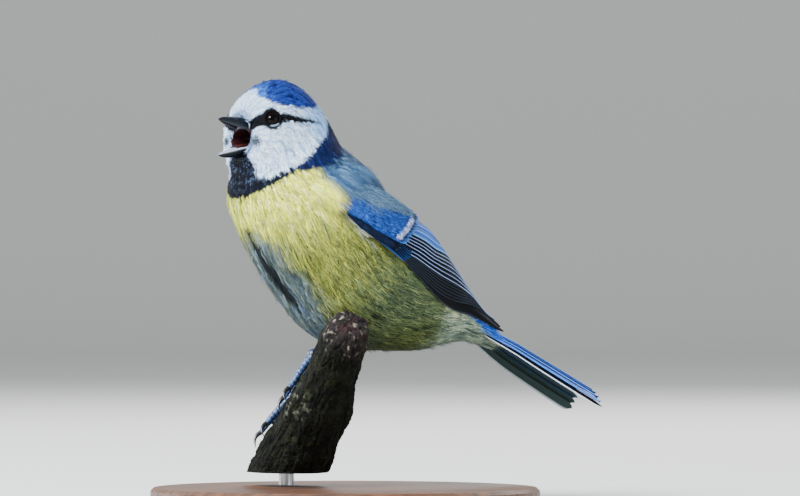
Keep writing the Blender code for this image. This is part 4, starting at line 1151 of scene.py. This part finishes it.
def make_wing(name, side, finish):
    """A folded wing of long feathers under rows of coverts."""
    feathers = [long_feather(side, order) for order in range(len(FLIGHT_ENDS))]
    for kind, count, start, length, first, last, *lifts in COVERT_ROWS:
        width = (last - first) / count
        for i in range(count):
            place, edge = start + rng.normal(0, 0.004), first + i * width
            feathers.append(covert(side, kind, place, length, edge, edge + width, *lifts))
    points, faces, colours, barb = joined(feathers)
    tones = np.repeat(rng.normal(1, 0.07, len(feathers)), [len(f[0]) for f in feathers])[:, None]
    item = make_mesh(f"{name}_feathers", points, faces, finish, np.clip(colours * tones, 0, 1), vane=barb)
    place_piece(item, "wing_feathers", name)


# Where the scapulars end over the folded wing and where its blue ends above its dark lower band.
SCAPULAR_EDGE = (
    (0.0, 0.72), (0.033, 0.58), (0.07, 0.48), (0.15, 0.38), (0.2, 0.32), (0.255, 0.2), (0.3, 0.1),
)
BLUE_EDGE = ((0.0, 1.06), (0.06, 1.04), (0.12, 0.94), (0.19, 0.87), (0.27, 0.9), (0.4, 0.96))
BACK = -0.36  # how far across the wing, above its upper edge, its scapulars reach over the back


def straight(first, last):
    """An edge from one place across the wing at its front to another at its end."""
    return (0, first), (1, last)


# Small feathers over the wing: count, span along it, first and last edge as rows of place along
# and across, length, turn across the wing, lift at root and tip, darkest and palest colour.
WING_TUFTS = (
    (2400, (-0.01, 0.25), SCAPULAR_EDGE, BLUE_EDGE, 2.3, 0.0, 2.0, 2.7, "#061C60", "#3878DC"),
    (420, (0.0, 0.26), BLUE_EDGE, ((0, 1.1), (0.26, 1.03)), 3.0, 0.0, 1.3, 2.1, "#060B1C", "#1A2C50"),
    (260, (0.268, 0.281), straight(0.28, 0.28), straight(0.84, 0.84), 1.3, 0.0, 2.5, 2.8, "#2458B8", "#F4FAFF"),
    (2600, (-0.02, 0.245), straight(BACK, BACK), SCAPULAR_EDGE, 3.4, -0.03, 1.9, 2.8, MANTLE_BLUE, MANTLE_PALE),
    (60, (0.02, 0.19), straight(1.04, 1.04), straight(1.08, 1.06), 2.6, -0.03, 0.3, 1.0, "#A4AE80", "#F4F6EC"),
)
# Feathers of the breast and mantle that lie over the bend of the wing: count, length, lift at the tip.
SHOULDER_TUFTS = (1300, 4.4, 2.6)


def shoulder_tufts(side):
    """Long soft feathers rooted in front of the wing that hide its front edge."""
    count, length, high = SHOULDER_TUFTS
    section = rng.uniform(7.3, 8.35, count)
    angle = side * np.radians(rng.uniform(56, 104, count))
    run = length * rng.uniform(0.7, 1.15, count) / section_size(section, angle)
    rise = high * step(7.9, 8.9, section + run)
    root = above_body(section, angle, np.full(count, -0.3))
    middle = above_body(section + run * 0.5, angle, 0.2 + rise * 0.7)
    tip = above_body(section + run, angle, 0.2 + rise)
    colours = np.clip(markings(section + run * 0.6, angle) * rng.normal(1, 0.12, (count, 1)), 0.001, 1)
    width, lift = rng.uniform(0.9, 1.3, count), rng.uniform(0.03, 0.2, count)
    normals = [body_normal(section, angle)]
    return tufts((root, middle, tip), normals, width, 8, lift, colours, bake_place(section, angle), 0.2)


def make_wing_coat(name, side, finish):
    """Short feathers that lie over the bend of the wing, its pale bar and its two edges."""
    parts = [shoulder_tufts(side)]

    def laid(along, across, lift):
        """A point over the wing, or on the back where it is above the wing's upper edge."""
        section, angle, height = on_wing(side, along, across)
        return above_body(section, angle, (height + lift) * step(BACK, 0.06, across))

    for count, span, first, last, length, turn, low_lift, high_lift, dark, pale in WING_TUFTS:
        along = rng.uniform(*span, count)
        part = rng.random(count)
        across = limit(first, along) * (1 - part) + limit(last, along) * part
        ahead = wing_point(side, along + 0.01, across, 0) - wing_point(side, along, across, 0)
        speed = np.linalg.norm(ahead, axis=1) / 0.01
        run = length * rng.uniform(0.75, 1.2, count) / np.maximum(speed, 20)
        root = laid(along, across, low_lift)
        middle = laid(along + run * 0.5, across + turn * 0.5, low_lift + 0.7 * (high_lift - low_lift))
        tip = laid(along + run, across + turn, high_lift)
        shade = over(dark, pale, rng.beta(1.3, 1.9, count))
        width, lift = rng.uniform(0.5, 0.95, count), rng.uniform(0.03, 0.2, count)
        section, angle, _ = on_wing(side, along, across)
        normals, bake = [body_normal(section, angle)], bake_place(section, angle)
        parts.append(tufts((root, middle, tip), normals, width, 7, lift, shade, bake, 0.3))
    points, faces, shaded, patch = joined(parts)
    place_piece(make_mesh(f"coat_{name}", points, faces, finish, shaded, patch), "wing_feathers")


# Paint of the tail's feathers and of its outermost ones.
TAIL_PAINT = (
    ("#347AEC", "#3C82F0", "#2A58A8", "#263432", 0.84, 0.97, "#347AEC"),
    ("#04070E", "#F0F6FF", "#8E9CB0", "#2A3838", 0.86, 0.97, "#04070E", 0.0, "#A4B0B4"),
)


def tail_feather(side, order):
    """One tail feather, counted from the middle."""
    width = radians(TAIL_ARCH) / TAIL_FEATHERS
    outer = (order + 0.5) / TAIL_FEATHERS
    end = 1 - TAIL_NOTCH / TAIL_LENGTH * (1 - outer)

    def edges(along):
        inner_edge = order * width - (0.6 * width if order else 0.05 * (side > 0))
        return side * np.full_like(along, inner_edge), side * np.full_like(along, (order + 1) * width)

    def lifts(along):
        rise = 0.9 * step(0.0, 0.3, along)
        if order == 0:
            return rise + (0.12 if side > 0 else -0.05), rise
        return 0.35 * rise - 0.3, rise

    paint = painted(*TAIL_PAINT[order == TAIL_FEATHERS - 1])
    return vane(tail_point, 0.0, end, edges, lifts, paint, 0.07, 24, 0.1)


def make_tail(finish):
    """The tail: twelve feathers in two halves of a shallow roof, the middle pair on top."""
    feathers = [tail_feather(side, order) for side in (1, -1) for order in range(TAIL_FEATHERS)]
    points, faces, colours, barb = joined(feathers)
    item = make_mesh("tail_feathers", points, faces, finish, colours, vane=barb)
    place_piece(item, "tail_feathers", "tail")


# Head


def eyeball(side):
    """Points, faces and colours of an eye, with its pupil outward."""
    place, outward = eye_place(side)
    centre = place - outward * sqrt(EYE_RADIUS**2 - EYE_OPENING**2)
    across = unit(np.cross(outward, (0, 0, 1)))
    turns = ring_angles(48)
    away = ring_round(0.0, across, np.cross(outward, across), turns)
    iris = linear(IRIS_BROWN) * (1 + 0.2 * np.sin(turns * 17)[:, None])
    rings, colours = [], []
    for polar in np.linspace(0.02, pi - 0.02, 40):
        rings.append(centre + EYE_RADIUS * (outward * cos(polar) + away * sin(polar)))
        dark = EYE_RADIUS * sin(polar) < PUPIL_RADIUS or cos(polar) < 0
        colours.append(np.broadcast_to(linear(PUPIL_BLACK) if dark else iris, (len(turns), 3)))
    return *tube(rings), np.concatenate([colours[0], *colours, colours[-1]])


def lid_rim(side):
    """Points, faces and colours of the wrinkled rim of an eye's lids, pale at its lower outer side."""
    place, outward = eye_place(side)
    across = unit(np.cross(outward, (0, 0, 1)))
    beside = np.cross(outward, across)
    angles = ring_angles(12)[:, None]
    rings = []
    for turn in ring_angles(64):
        away = across * cos(turn) + beside * sin(turn)
        thick = LID_THICKNESS * (1 + 0.12 * sin(turn * 21))
        middle = place + away * LID_RADIUS * 0.95 - outward * 0.05
        rings.append(middle + thick * (np.cos(angles) * away + np.sin(angles) * outward * 1.1))
    rings.append(rings[0])
    points = np.array(rings).reshape(-1, 3)
    below = unit(points - place) @ np.array((0.25, 0.0, -1.0))
    outer = np.linalg.norm(points - place, axis=1) > LID_RADIUS * 0.93
    colours = over(LID_DARK, LID_PALE, step(0.72, 0.9, below) * outer)
    return points, grid_faces(len(rings), len(angles), True), colours


def make_eyes(finish, rim_finish):
    """Both eyes, dark and wet, and the bare rims of their lids."""
    for name, side in (("left", 1), ("right", -1)):
        points, faces, colours = eyeball(side)
        place_piece(make_mesh(f"eyeball_{name}", points, faces, finish, colours), "eye", f"eye_{name}")
        points, faces, colours = lid_rim(side)
        place_piece(make_mesh(f"lid_rim_{name}", points, faces, rim_finish, colours), "eye")


# Colours of the horn, of its cutting edge and of its inner side. On the lower half the near-white edge and the
# pale inner side are a painted sheen.
BILL_COLOURS = {
    "bill_upper": ("#0B0F16", "#343A46", "#1E1214"),
    "bill_lower": ("#0B0F16", "#C2CCD8", "#8A94A2"),
}


def bill_rings(rows, side):
    """Rings along one half of the bill, ridged outside and hollow towards the mouth.

    side is 1 for the upper half and -1 for the lower one.
    """
    forward, left, up = head_axes()
    start = bill_start()
    turns = np.linspace(0, pi, 21)
    wide = np.sign(np.cos(turns)) * np.abs(np.cos(turns)) ** 1.15
    tall = np.sin(turns) ** 0.9
    inner = np.linspace(-1, 1, 13)[1:-1]
    rings = []
    for distance, half_width, top, bottom in smooth_row(rows, np.linspace(0, len(rows) - 1, 44)):
        centre = start + forward * distance
        rim = bottom if side > 0 else top
        rounded = (top - bottom) * side
        hollow = 0.42 * rounded * (1 - inner**2) ** 0.7
        outside = centre + np.outer(wide * half_width, left) + np.outer(rim + rounded * tall, up)
        inside = centre + np.outer(inner * half_width * 0.94, left) + np.outer(rim + hollow, up)
        rings.append(np.concatenate([outside, inside]))
    heights = np.concatenate([tall, np.full(len(inner), -1.0)])
    return np.array(rings), np.tile(heights, len(rings) + 2)


def bill_start():
    """The middle of the base of the bill, at height zero."""
    place = on_midline(*BILL_BASE)
    place[2] = 0.0
    return place


def make_bill(finish):
    """Both halves of the bill with lighter cutting edges, the lower one's near white as a painted sheen, and
    the nostrils.
    """
    forward, left, up = head_axes()
    for name, rows, half in (("bill_upper", UPPER_BILL, 1), ("bill_lower", LOWER_BILL, -1)):
        rings, heights = bill_rings(rows, half)
        points, faces = tube(rings)
        horn, rim, lining = BILL_COLOURS[name]
        # The edge is lighter than the horn; on the lower half it and the inner side are paled as a painted
        # sheen.
        outside = over(horn, rim, step(0.25, 0.02, heights))
        colours = np.where(heights[:, None] < 0, linear(lining), outside)
        for side in (1, -1) if name == "bill_upper" else ():
            hole = bill_start() + forward * NOSTRIL[0] + left * side * (NOSTRIL[1] - 0.1) + up * NOSTRIL[2]
            offset = points - hole
            inside = (offset @ forward / 0.55) ** 2 + (offset @ up / 0.3) ** 2 + (offset @ left / 0.6) ** 2
            # Each nostril is pressed in a little and darkened almost to black, painted shade inside the hole.
            part = step(1.2, 0.5, inside)[:, None]
            points = points - left * side * part * 0.35
            colours = colours * (1 - 0.9 * part)
        place_piece(make_mesh(f"{name}_horn", points, faces, finish, colours), "bill_horn", name)


def make_mouth(finish):
    """Lining of the open mouth and the pointed tongue."""
    forward, left, up = head_axes()
    segments = 48
    rings = np.array(mouth_rings(segments, 0.97))
    points = rings.reshape(-1, 3) + forward * 0.12
    outward = np.repeat(np.linspace(0, 1, len(rings)), segments)
    # The lining darkens from the rim to the throat, painted shade deeper in the mouth.
    colours = over(*LINING_AND_THROAT_SHADE, outward**2)
    faces = grid_faces(len(rings), segments, True)
    place_piece(make_mesh("mouth_lining", points, faces, finish, colours), "face_feathers")
    root = on_midline(*MOUTH_CENTRE) - up * 1.8 - forward * 3.4
    turns = ring_angles(16)
    rings = []
    for part in np.linspace(0, 1, 16):
        centre = root + forward * 7.0 * part + up * (0.5 * part - 1.0 * part**2)
        wide = 1.25 * (1 - part**3) ** 0.6 + 0.03
        high = np.sin(turns) * 0.3 * wide + 0.1
        rings.append(centre + np.outer(np.cos(turns) * wide, left) + np.outer(high, up))
    points, faces = tube(rings)
    colours = np.repeat(linear(TONGUE_RED)[None], len(points), 0)
    place_piece(make_mesh("tongue", points, faces, finish, colours), "face_feathers")


def make_bristles(finish):
    """Short feathers and bristles that lie forward over the base of the bill."""
    forward, _, _ = head_axes()
    count = BRISTLES
    section = rng.uniform(0.02, 0.45, count)
    angle = rng.uniform(-pi, pi, count)
    at_mouth = np.abs(np.cos(angle)) < 0.45
    section = np.where(at_mouth, section * 0.5, section)
    place = above_body(section, angle, -0.2)
    from_centre = place - FRAMES[0][0:3]
    radial = unit(from_centre - forward * (from_centre @ forward)[:, None])
    reach = rng.uniform(0.7, 1.5, count) * np.where(at_mouth, 0.45, 1.0)
    spread = radial * rng.uniform(0.15, 0.75, count)[:, None]
    way = unit(forward * 0.9 + spread + rng.normal(0, 0.15, (count, 3)))
    places = (place, place + way * (reach * 0.5)[:, None], place + way * reach[:, None])
    width, lift = np.full(count, 0.34), np.full(count, 0.05)
    colours = markings(section + 0.15, angle)
    bake = bake_place(section, angle)
    points, faces, shaded, patch = tufts(places, [radial], width, 4, lift, colours, bake)
    place_piece(make_mesh("coat_bill_base", points, faces, finish, shaded, patch), "face_feathers")


# Branch, legs and feet


def branch_axes():
    """Direction up the branch, and across it to the left edge and to the far side."""
    along = unit(np.subtract(BRANCH_TOP, BRANCH_FOOT))
    far = unit(np.array((0.0, 1.0, 0.0)) - along * along[1])
    return along, unit(np.cross(along, far)), far


def branch_length():
    """The length of the branch along its middle line."""
    return np.linalg.norm(np.subtract(BRANCH_TOP, BRANCH_FOOT))


def branch_radius(height, angle):
    """Radius of the branch by height from 0 to 1 and angle from its left edge to its far side."""
    radius = smooth_value(BRANCH_RADII, height)
    ripple = 0.025 * np.sin(3 * angle + 7 * height) + 0.018 * np.sin(5 * angle - 16 * height)
    worn = np.exp(-(((height - GRIP_PLACE[0]) / GRIP_PLACE[1]) ** 2)) * np.clip(np.cos(angle), 0, 1) ** 2
    return radius * (1 + ripple) - GRIP_DEPTH * worn


def on_branch(height, angle, lift):
    """A point at a lift above the branch's surface."""
    along, left, far = branch_axes()
    height, angle = np.asarray(height, float), np.asarray(angle, float)
    centre = BRANCH_FOOT + np.subtract(BRANCH_TOP, BRANCH_FOOT) * height[..., None]
    away = left * np.cos(angle)[..., None] + far * np.sin(angle)[..., None]
    return centre + away * (branch_radius(height, angle) + lift)[..., None]


def bark_relief(point):
    """Height of the bark's plates, cracks and warts at a point."""
    along, _, _ = branch_axes()
    run = float(point @ along)
    squeezed = Vector(point - along * run * 0.72)
    plates = noise.fractal(squeezed * 0.42, 1.0, 2.0, 4)
    cracks = abs(noise.noise(squeezed * 0.55 + Vector((3.1, 0.7, 5.2))))
    fine = noise.fractal(Vector(point) * 2.2, 0.8, 2.1, 4)
    return 0.5 * plates - 0.6 * max(0.0, 0.16 - cracks) * 4 + 0.22 * fine


def branch_colours(points):
    """Colours of the bark: a pale, stained knob at its top, and grey lichen by a knot and on the knob."""
    along, _, _ = branch_axes()
    vectors = [Vector(point) for point in points]
    grain = np.array([noise.fractal(vector * 0.35, 1.0, 2.0, 4) for vector in vectors])
    dust = np.array([noise.fractal(vector * 0.75, 1.0, 2.1, 3) for vector in vectors])
    speck = np.array([noise.noise(vector * 1.3) for vector in vectors])
    up_part = (points - np.asarray(BRANCH_FOOT)) @ along / branch_length()
    knob = step(0.86, 1.02, up_part + 0.12 * grain)
    near_knot = np.linalg.norm(points - on_branch(*KNOT, 0.0), axis=1)
    spots = step(6.5, 1.0, near_knot + 3.0 * grain) * step(0.0, 0.9, dust + 0.4 * speck)
    colours = over(BARK_DARK, BARK_WARM, step(-0.2, 0.5, grain))
    colours = over(colours, BARK_PALE, knob * 0.85)
    colours = over(colours, LICHEN, spots * 0.8)
    colours = over(colours, LICHEN_PALE, knob * step(0.25, 0.75, dust + 0.2 * speck) * 0.8)
    return over(colours, BARK_STAIN, knob * step(0.0, -0.35, grain) * 0.7)


def make_branch(finish):
    """The branch: cracked bark, sawn level at its foot and broken off at its top."""
    segments, rings_count = 220, 210
    angles = ring_angles(segments)
    along, left, far = branch_axes()
    away = ring_round(0.0, left, far, angles)
    rings = []
    for height in np.linspace(0, 1, rings_count):
        ring = on_branch(np.full(segments, height), angles, np.zeros(segments))
        level = max(0.0, 1 - height / BRANCH_LEVEL_END)
        drop = (ring[:, 2] - ring[:, 2].mean()) * level / along[2]
        ring = ring - along * drop[:, None]
        relief = np.array([bark_relief(point) for point in ring])
        rings.append(ring + away * (relief * min(1.0, height / 0.02))[:, None])
    top = rings[-1]
    centre = top.mean(0)
    for inset in np.linspace(0.93, 0.08, 14):
        ring = centre + (top - centre) * inset
        splinter = np.array([noise.fractal(Vector(point) * 0.9, 0.9, 2.0, 5) for point in ring])
        dome = 1.5 * (1 - inset**2) ** 0.5
        rings.append(ring + along * (dome + 0.7 * splinter * (1 - inset**6))[:, None])
    points, faces = tube(rings)
    place_piece(make_mesh("bark_branch", points, faces, finish, branch_colours(points)), "bark", "perch")


def toe_path(height, angle, slant, length, back, lift, steps):
    """A path over the branch's surface, turned down the branch by a slant, and where it ends."""
    round_it = (1 if back else -1) * length / steps * cos(radians(slant))
    down_it = (-0.3 if back else 1) * length / steps * sin(radians(slant)) / branch_length()
    points = [on_branch(height, angle, lift)]
    for _ in range(steps):
        angle += round_it / (float(branch_radius(height, angle)) + lift)
        height -= down_it
        points.append(on_branch(height, angle, lift))
    return points, height, angle


def swept(path, radii, outwards, segments, flat=1.0):
    """Points and faces of a tube along a path, with its height along the outward directions."""
    path = np.asarray(path, float)
    rings = []
    for i, centre in enumerate(path):
        along = unit(path[min(i + 1, len(path) - 1)] - path[max(i - 1, 0)])
        high = unit(outwards[i] - along * along.dot(outwards[i]))
        wide = np.cross(along, high)
        turns = ring_angles(segments)[:, None]
        rings.append(centre + radii[i] * (np.cos(turns) * high + np.sin(turns) * wide * flat))
    return tube(rings)


def scute_colours(arch, segments):
    """Colours of a scaled toe: dark creases between glossy blue-grey scutes."""
    rings = over(SCUTE_CREASE, SCUTE_BLUE, np.asarray(arch) ** 1.5)
    rings = np.concatenate([rings[:1], rings, rings[-1:]])
    return np.repeat(rings, segments, 0)


def off_branch(point):
    """The direction from the middle line of the branch to a point."""
    along, _, _ = branch_axes()
    offset = point - np.asarray(BRANCH_FOOT)
    return unit(offset - along * (offset @ along))


def make_toe(height, angle, slant, length, turn, back):
    """Points, faces and colours of one toe, and points and faces of its claw."""
    lift = GAP + TOE_RADIUS
    lean = slant if back else slant + turn
    path, end_height, end_angle = toe_path(height, angle, lean, length, back, lift, 48)
    part = np.linspace(0, 1, len(path))
    arch = np.abs(np.sin(part * pi * length / SCUTE_LENGTH)) ** 0.6
    pads = 1 + 0.1 * np.sin(part * pi * 3) ** 2
    radii = (TOE_RADIUS + (TOE_TIP_RADIUS - TOE_RADIUS) * part) * (0.87 + 0.16 * arch) * pads
    toe = *swept(path, radii, [off_branch(point) for point in path], 16), scute_colours(arch, 16)
    claw_length = HIND_CLAW_LENGTH if back else CLAW_LENGTH
    path, _, _ = toe_path(end_height, end_angle, lean * CLAW_TURN, claw_length, back, lift, 20)
    outward = off_branch(path[0])
    part = np.linspace(0, 1, len(path))
    curve = np.array(path) + outward * (0.7 * np.sin(pi * part) - 0.45 * part)[:, None]
    radii = CLAW_RADIUS * (1 - part**1.3) + 0.04
    return toe, swept(curve, radii, [outward] * len(curve), 14, 0.72)


def make_feet(skin_finish, claw_finish, coat):
    """Shanks and toes with their scutes and pads, the claws, and the feathered thighs."""
    for name, hip, heel, height, degrees, slant in FEET:
        angle = radians(degrees)
        toes, claws = zip(*(make_toe(height, angle, slant, *toe[1:]) for toe in TOES))
        ball = on_branch(height, angle, GAP + TOE_RADIUS + 0.35)
        rise = unit(np.asarray(heel) - ball)
        turns = np.linspace(0, 1, 20)
        pad = [ball + rise * (turn * (PAD_HEIGHT + 0.9) - 0.9) for turn in turns]
        swell = (0.95 + 0.35 * np.exp(-(((turns - 0.25) / 0.2) ** 2))) * np.where(turns < 0.08, 0.6, 1.0)
        pad = *swept(pad, swell, [np.array((1.0, 0, 0))] * 20, 20), scute_colours(np.full(20, 0.5), 20)
        points, faces, colours = joined([*toes, pad])
        item = make_mesh(f"toes_{name}", points, faces, skin_finish, colours)
        place_piece(item, "leg_skin", f"foot_{name}")
        points, faces = joined(claws)
        colours = np.repeat(linear(CLAW_BLACK)[None], len(points), 0)
        item = make_mesh(f"claws_{name}", points, faces, claw_finish, colours)
        place_piece(item, "claw_horn", *[f"claw_{name}_{toe[0]}" for toe in TOES])
        make_leg(name, np.asarray(hip, float), np.asarray(heel), ball + rise * PAD_HEIGHT, skin_finish, coat)


def make_leg(name, hip, heel, ankle, skin_finish, coat):
    """One leg: a shank with scutes, and a thigh with its own short coat."""
    down, shank = unit(heel - hip), unit(ankle - heel)
    table = np.array(
        [
            (*hip, 2.9),
            (*(hip + heel) / 2, 2.3),
            (*heel - down * 1.2, 1.35),
            (*heel + shank * 0.8, TARSUS_RADIUS * 1.15),
            (*(heel + ankle) / 2, TARSUS_RADIUS),
            (*ankle + shank * 0.3, TARSUS_RADIUS),
        ]
    )
    rows = smooth_row(table, np.linspace(0, len(table) - 1, 90))
    part = np.linspace(0, 1, len(rows))
    arch = np.abs(np.sin(part * 44)) ** 0.6
    scutes = np.where(part > 0.55, 0.93 + 0.1 * arch, 1.0)
    outwards = [np.array((-1.0, 0.3, 0.2))] * len(rows)
    points, faces = swept(rows[:, :3], rows[:, 3] * scutes, outwards, 20)
    item = make_mesh(f"shank_{name}", points, faces, skin_finish, scute_colours(arch, 20))
    place_piece(item, "leg_skin", f"leg_{name}")
    count = THIGH_TUFTS
    along = rng.uniform(0.0, 0.5, count)
    turn = rng.uniform(0, 2 * pi, count)
    across = unit(np.cross(down, (0.2, 0.9, 0.1)))
    away = np.cos(turn)[:, None] * across + np.sin(turn)[:, None] * np.cross(down, across)

    def on_thigh(part, lift):
        row = smooth_row(table, part * (len(table) - 1))
        return row[:, :3] + away * (row[:, 3] + lift)[:, None]

    places = (on_thigh(along, -0.1), on_thigh(along + 0.08, 0.2), on_thigh(along + 0.15, 0.25))
    # Thigh tufts run from the flank's dark, which is partly painted shade, to the undertail's pale.
    shade = over(FLANK_DARK_AND_SHADE, UNDERTAIL_PALE, rng.random(count))
    bake = unwrapped(turn / (2 * pi), along / 0.5)
    width, lift = np.full(count, 0.8), np.full(count, 0.15)
    points, faces, shaded, patch = tufts(places, [away], width, 6, lift, shade, bake)
    place_piece(make_mesh(f"coat_thigh_{name}", points, faces, coat, shaded, patch), "breast_feathers")


# Stand, floor, light and camera


FLOOR_SIZE = (4000.0, 2200.0, 1000.0)  # reach, start of the curve behind and its radius
SURROUND = "#E8EEF2"
SURROUND_STRENGTH = 0.6
LIGHT_TARGET = (0, 0, 60)
# Each softbox: name, place, size, power in watts and colour.
LIGHTS = (
    ("key_softbox", (-600, -650, 800), 420, 43.0, "#F4F8FF"),
    ("fill_softbox", (900, -700, 300), 800, 6.0, "#EAF2FF"),
    ("rim_softbox", (300, 800, 700), 500, 10.0, "#FFFFFF"),
    ("side_softbox", (-800, 500, 300), 500, 9.0, "#EAF2FF"),
)
LENS = 300.0
SENSOR_WIDTH = 36.0
VIEW_WIDTH = 188.2
VIEW_CENTRE = (12.94, -5.0, 60.47)


def dress_stand(wood, steel):
    """Finishes of the base and the rod, which keep their CAD shapes."""
    for name, finish in (("stand_base", wood), ("stand_rod", steel)):
        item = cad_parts[name]
        item.data.materials.clear()
        item.data.materials.append(finish)


def make_stage(finish):
    """A pale floor under the stand that curves up far behind it, and a soft pale surround."""
    reach, start, bend = FLOOR_SIZE
    turns = np.linspace(0, pi / 2, 24)
    depth = np.concatenate([[-reach], start + bend * np.sin(turns), [start + bend]])
    height = np.concatenate([[0.0], bend * (1 - np.cos(turns)), [reach]])
    points = np.array([(x, y, z) for y, z in zip(depth, height) for x in (-reach, reach)])
    make_mesh("floor", points, grid_faces(len(depth), 2), finish)
    world = bpy.data.worlds.new("soft_surround")
    bpy.context.scene.world = world
    world.use_nodes = True
    background = world.node_tree.nodes["Background"]
    background.inputs["Color"].default_value = (*linear(SURROUND), 1)
    background.inputs["Strength"].default_value = SURROUND_STRENGTH


def add_light(name, place, size, power, colour):
    """A square softbox that faces the middle of the bird."""
    data = bpy.data.lights.new(name, "AREA")
    data.size = size * MM
    data.energy = power
    data.color = tuple(linear(colour))
    item = bpy.data.objects.new(name, data)
    bpy.context.scene.collection.objects.link(item)
    item.location = Vector(place) * MM
    item.rotation_euler = (Vector(LIGHT_TARGET) - Vector(place)).to_track_quat("-Z", "Y").to_euler()


def add_camera():
    """The camera of the photograph: level, square to the bird's side, far off with a long lens."""
    data = bpy.data.cameras.new("camera")
    data.lens = LENS
    data.sensor_width = SENSOR_WIDTH
    data.clip_start = 0.05
    data.clip_end = 50.0
    item = bpy.data.objects.new("camera", data)
    bpy.context.scene.collection.objects.link(item)
    x, y, z = VIEW_CENTRE
    item.location = Vector((x, y - VIEW_WIDTH * LENS / SENSOR_WIDTH, z)) * MM
    item.rotation_euler = (radians(90), 0, 0)
    bpy.context.scene.camera = item


def build():
    """Make every piece, the stage, the lights and the camera."""
    coat, vanes, scaled = coat_finish(), vane_finish(), scale_finish()
    make_skin(coat)
    make_coat(coat)
    wings = (("wing_left", 1), ("wing_right", -1))
    for name, side in wings:
        make_wing(name, side, vanes)
    for name, side in wings:
        make_wing_coat(name, side, coat)
    make_tail(vanes)
    make_eyes(eye_finish(), lid_finish())
    make_bill(horn_finish("dark_bill_horn", 0.42, 0.5, 0.2))
    make_mouth(mouth_finish())
    make_bristles(coat)
    make_branch(bark_finish())
    make_feet(scaled, horn_finish("black_claw_horn", 0.3, 0.3, 0.5), coat)
    dress_stand(wood_finish(), steel_finish())
    make_stage(floor_finish())
    for light in LIGHTS:
        add_light(*light)
    add_camera()


build()
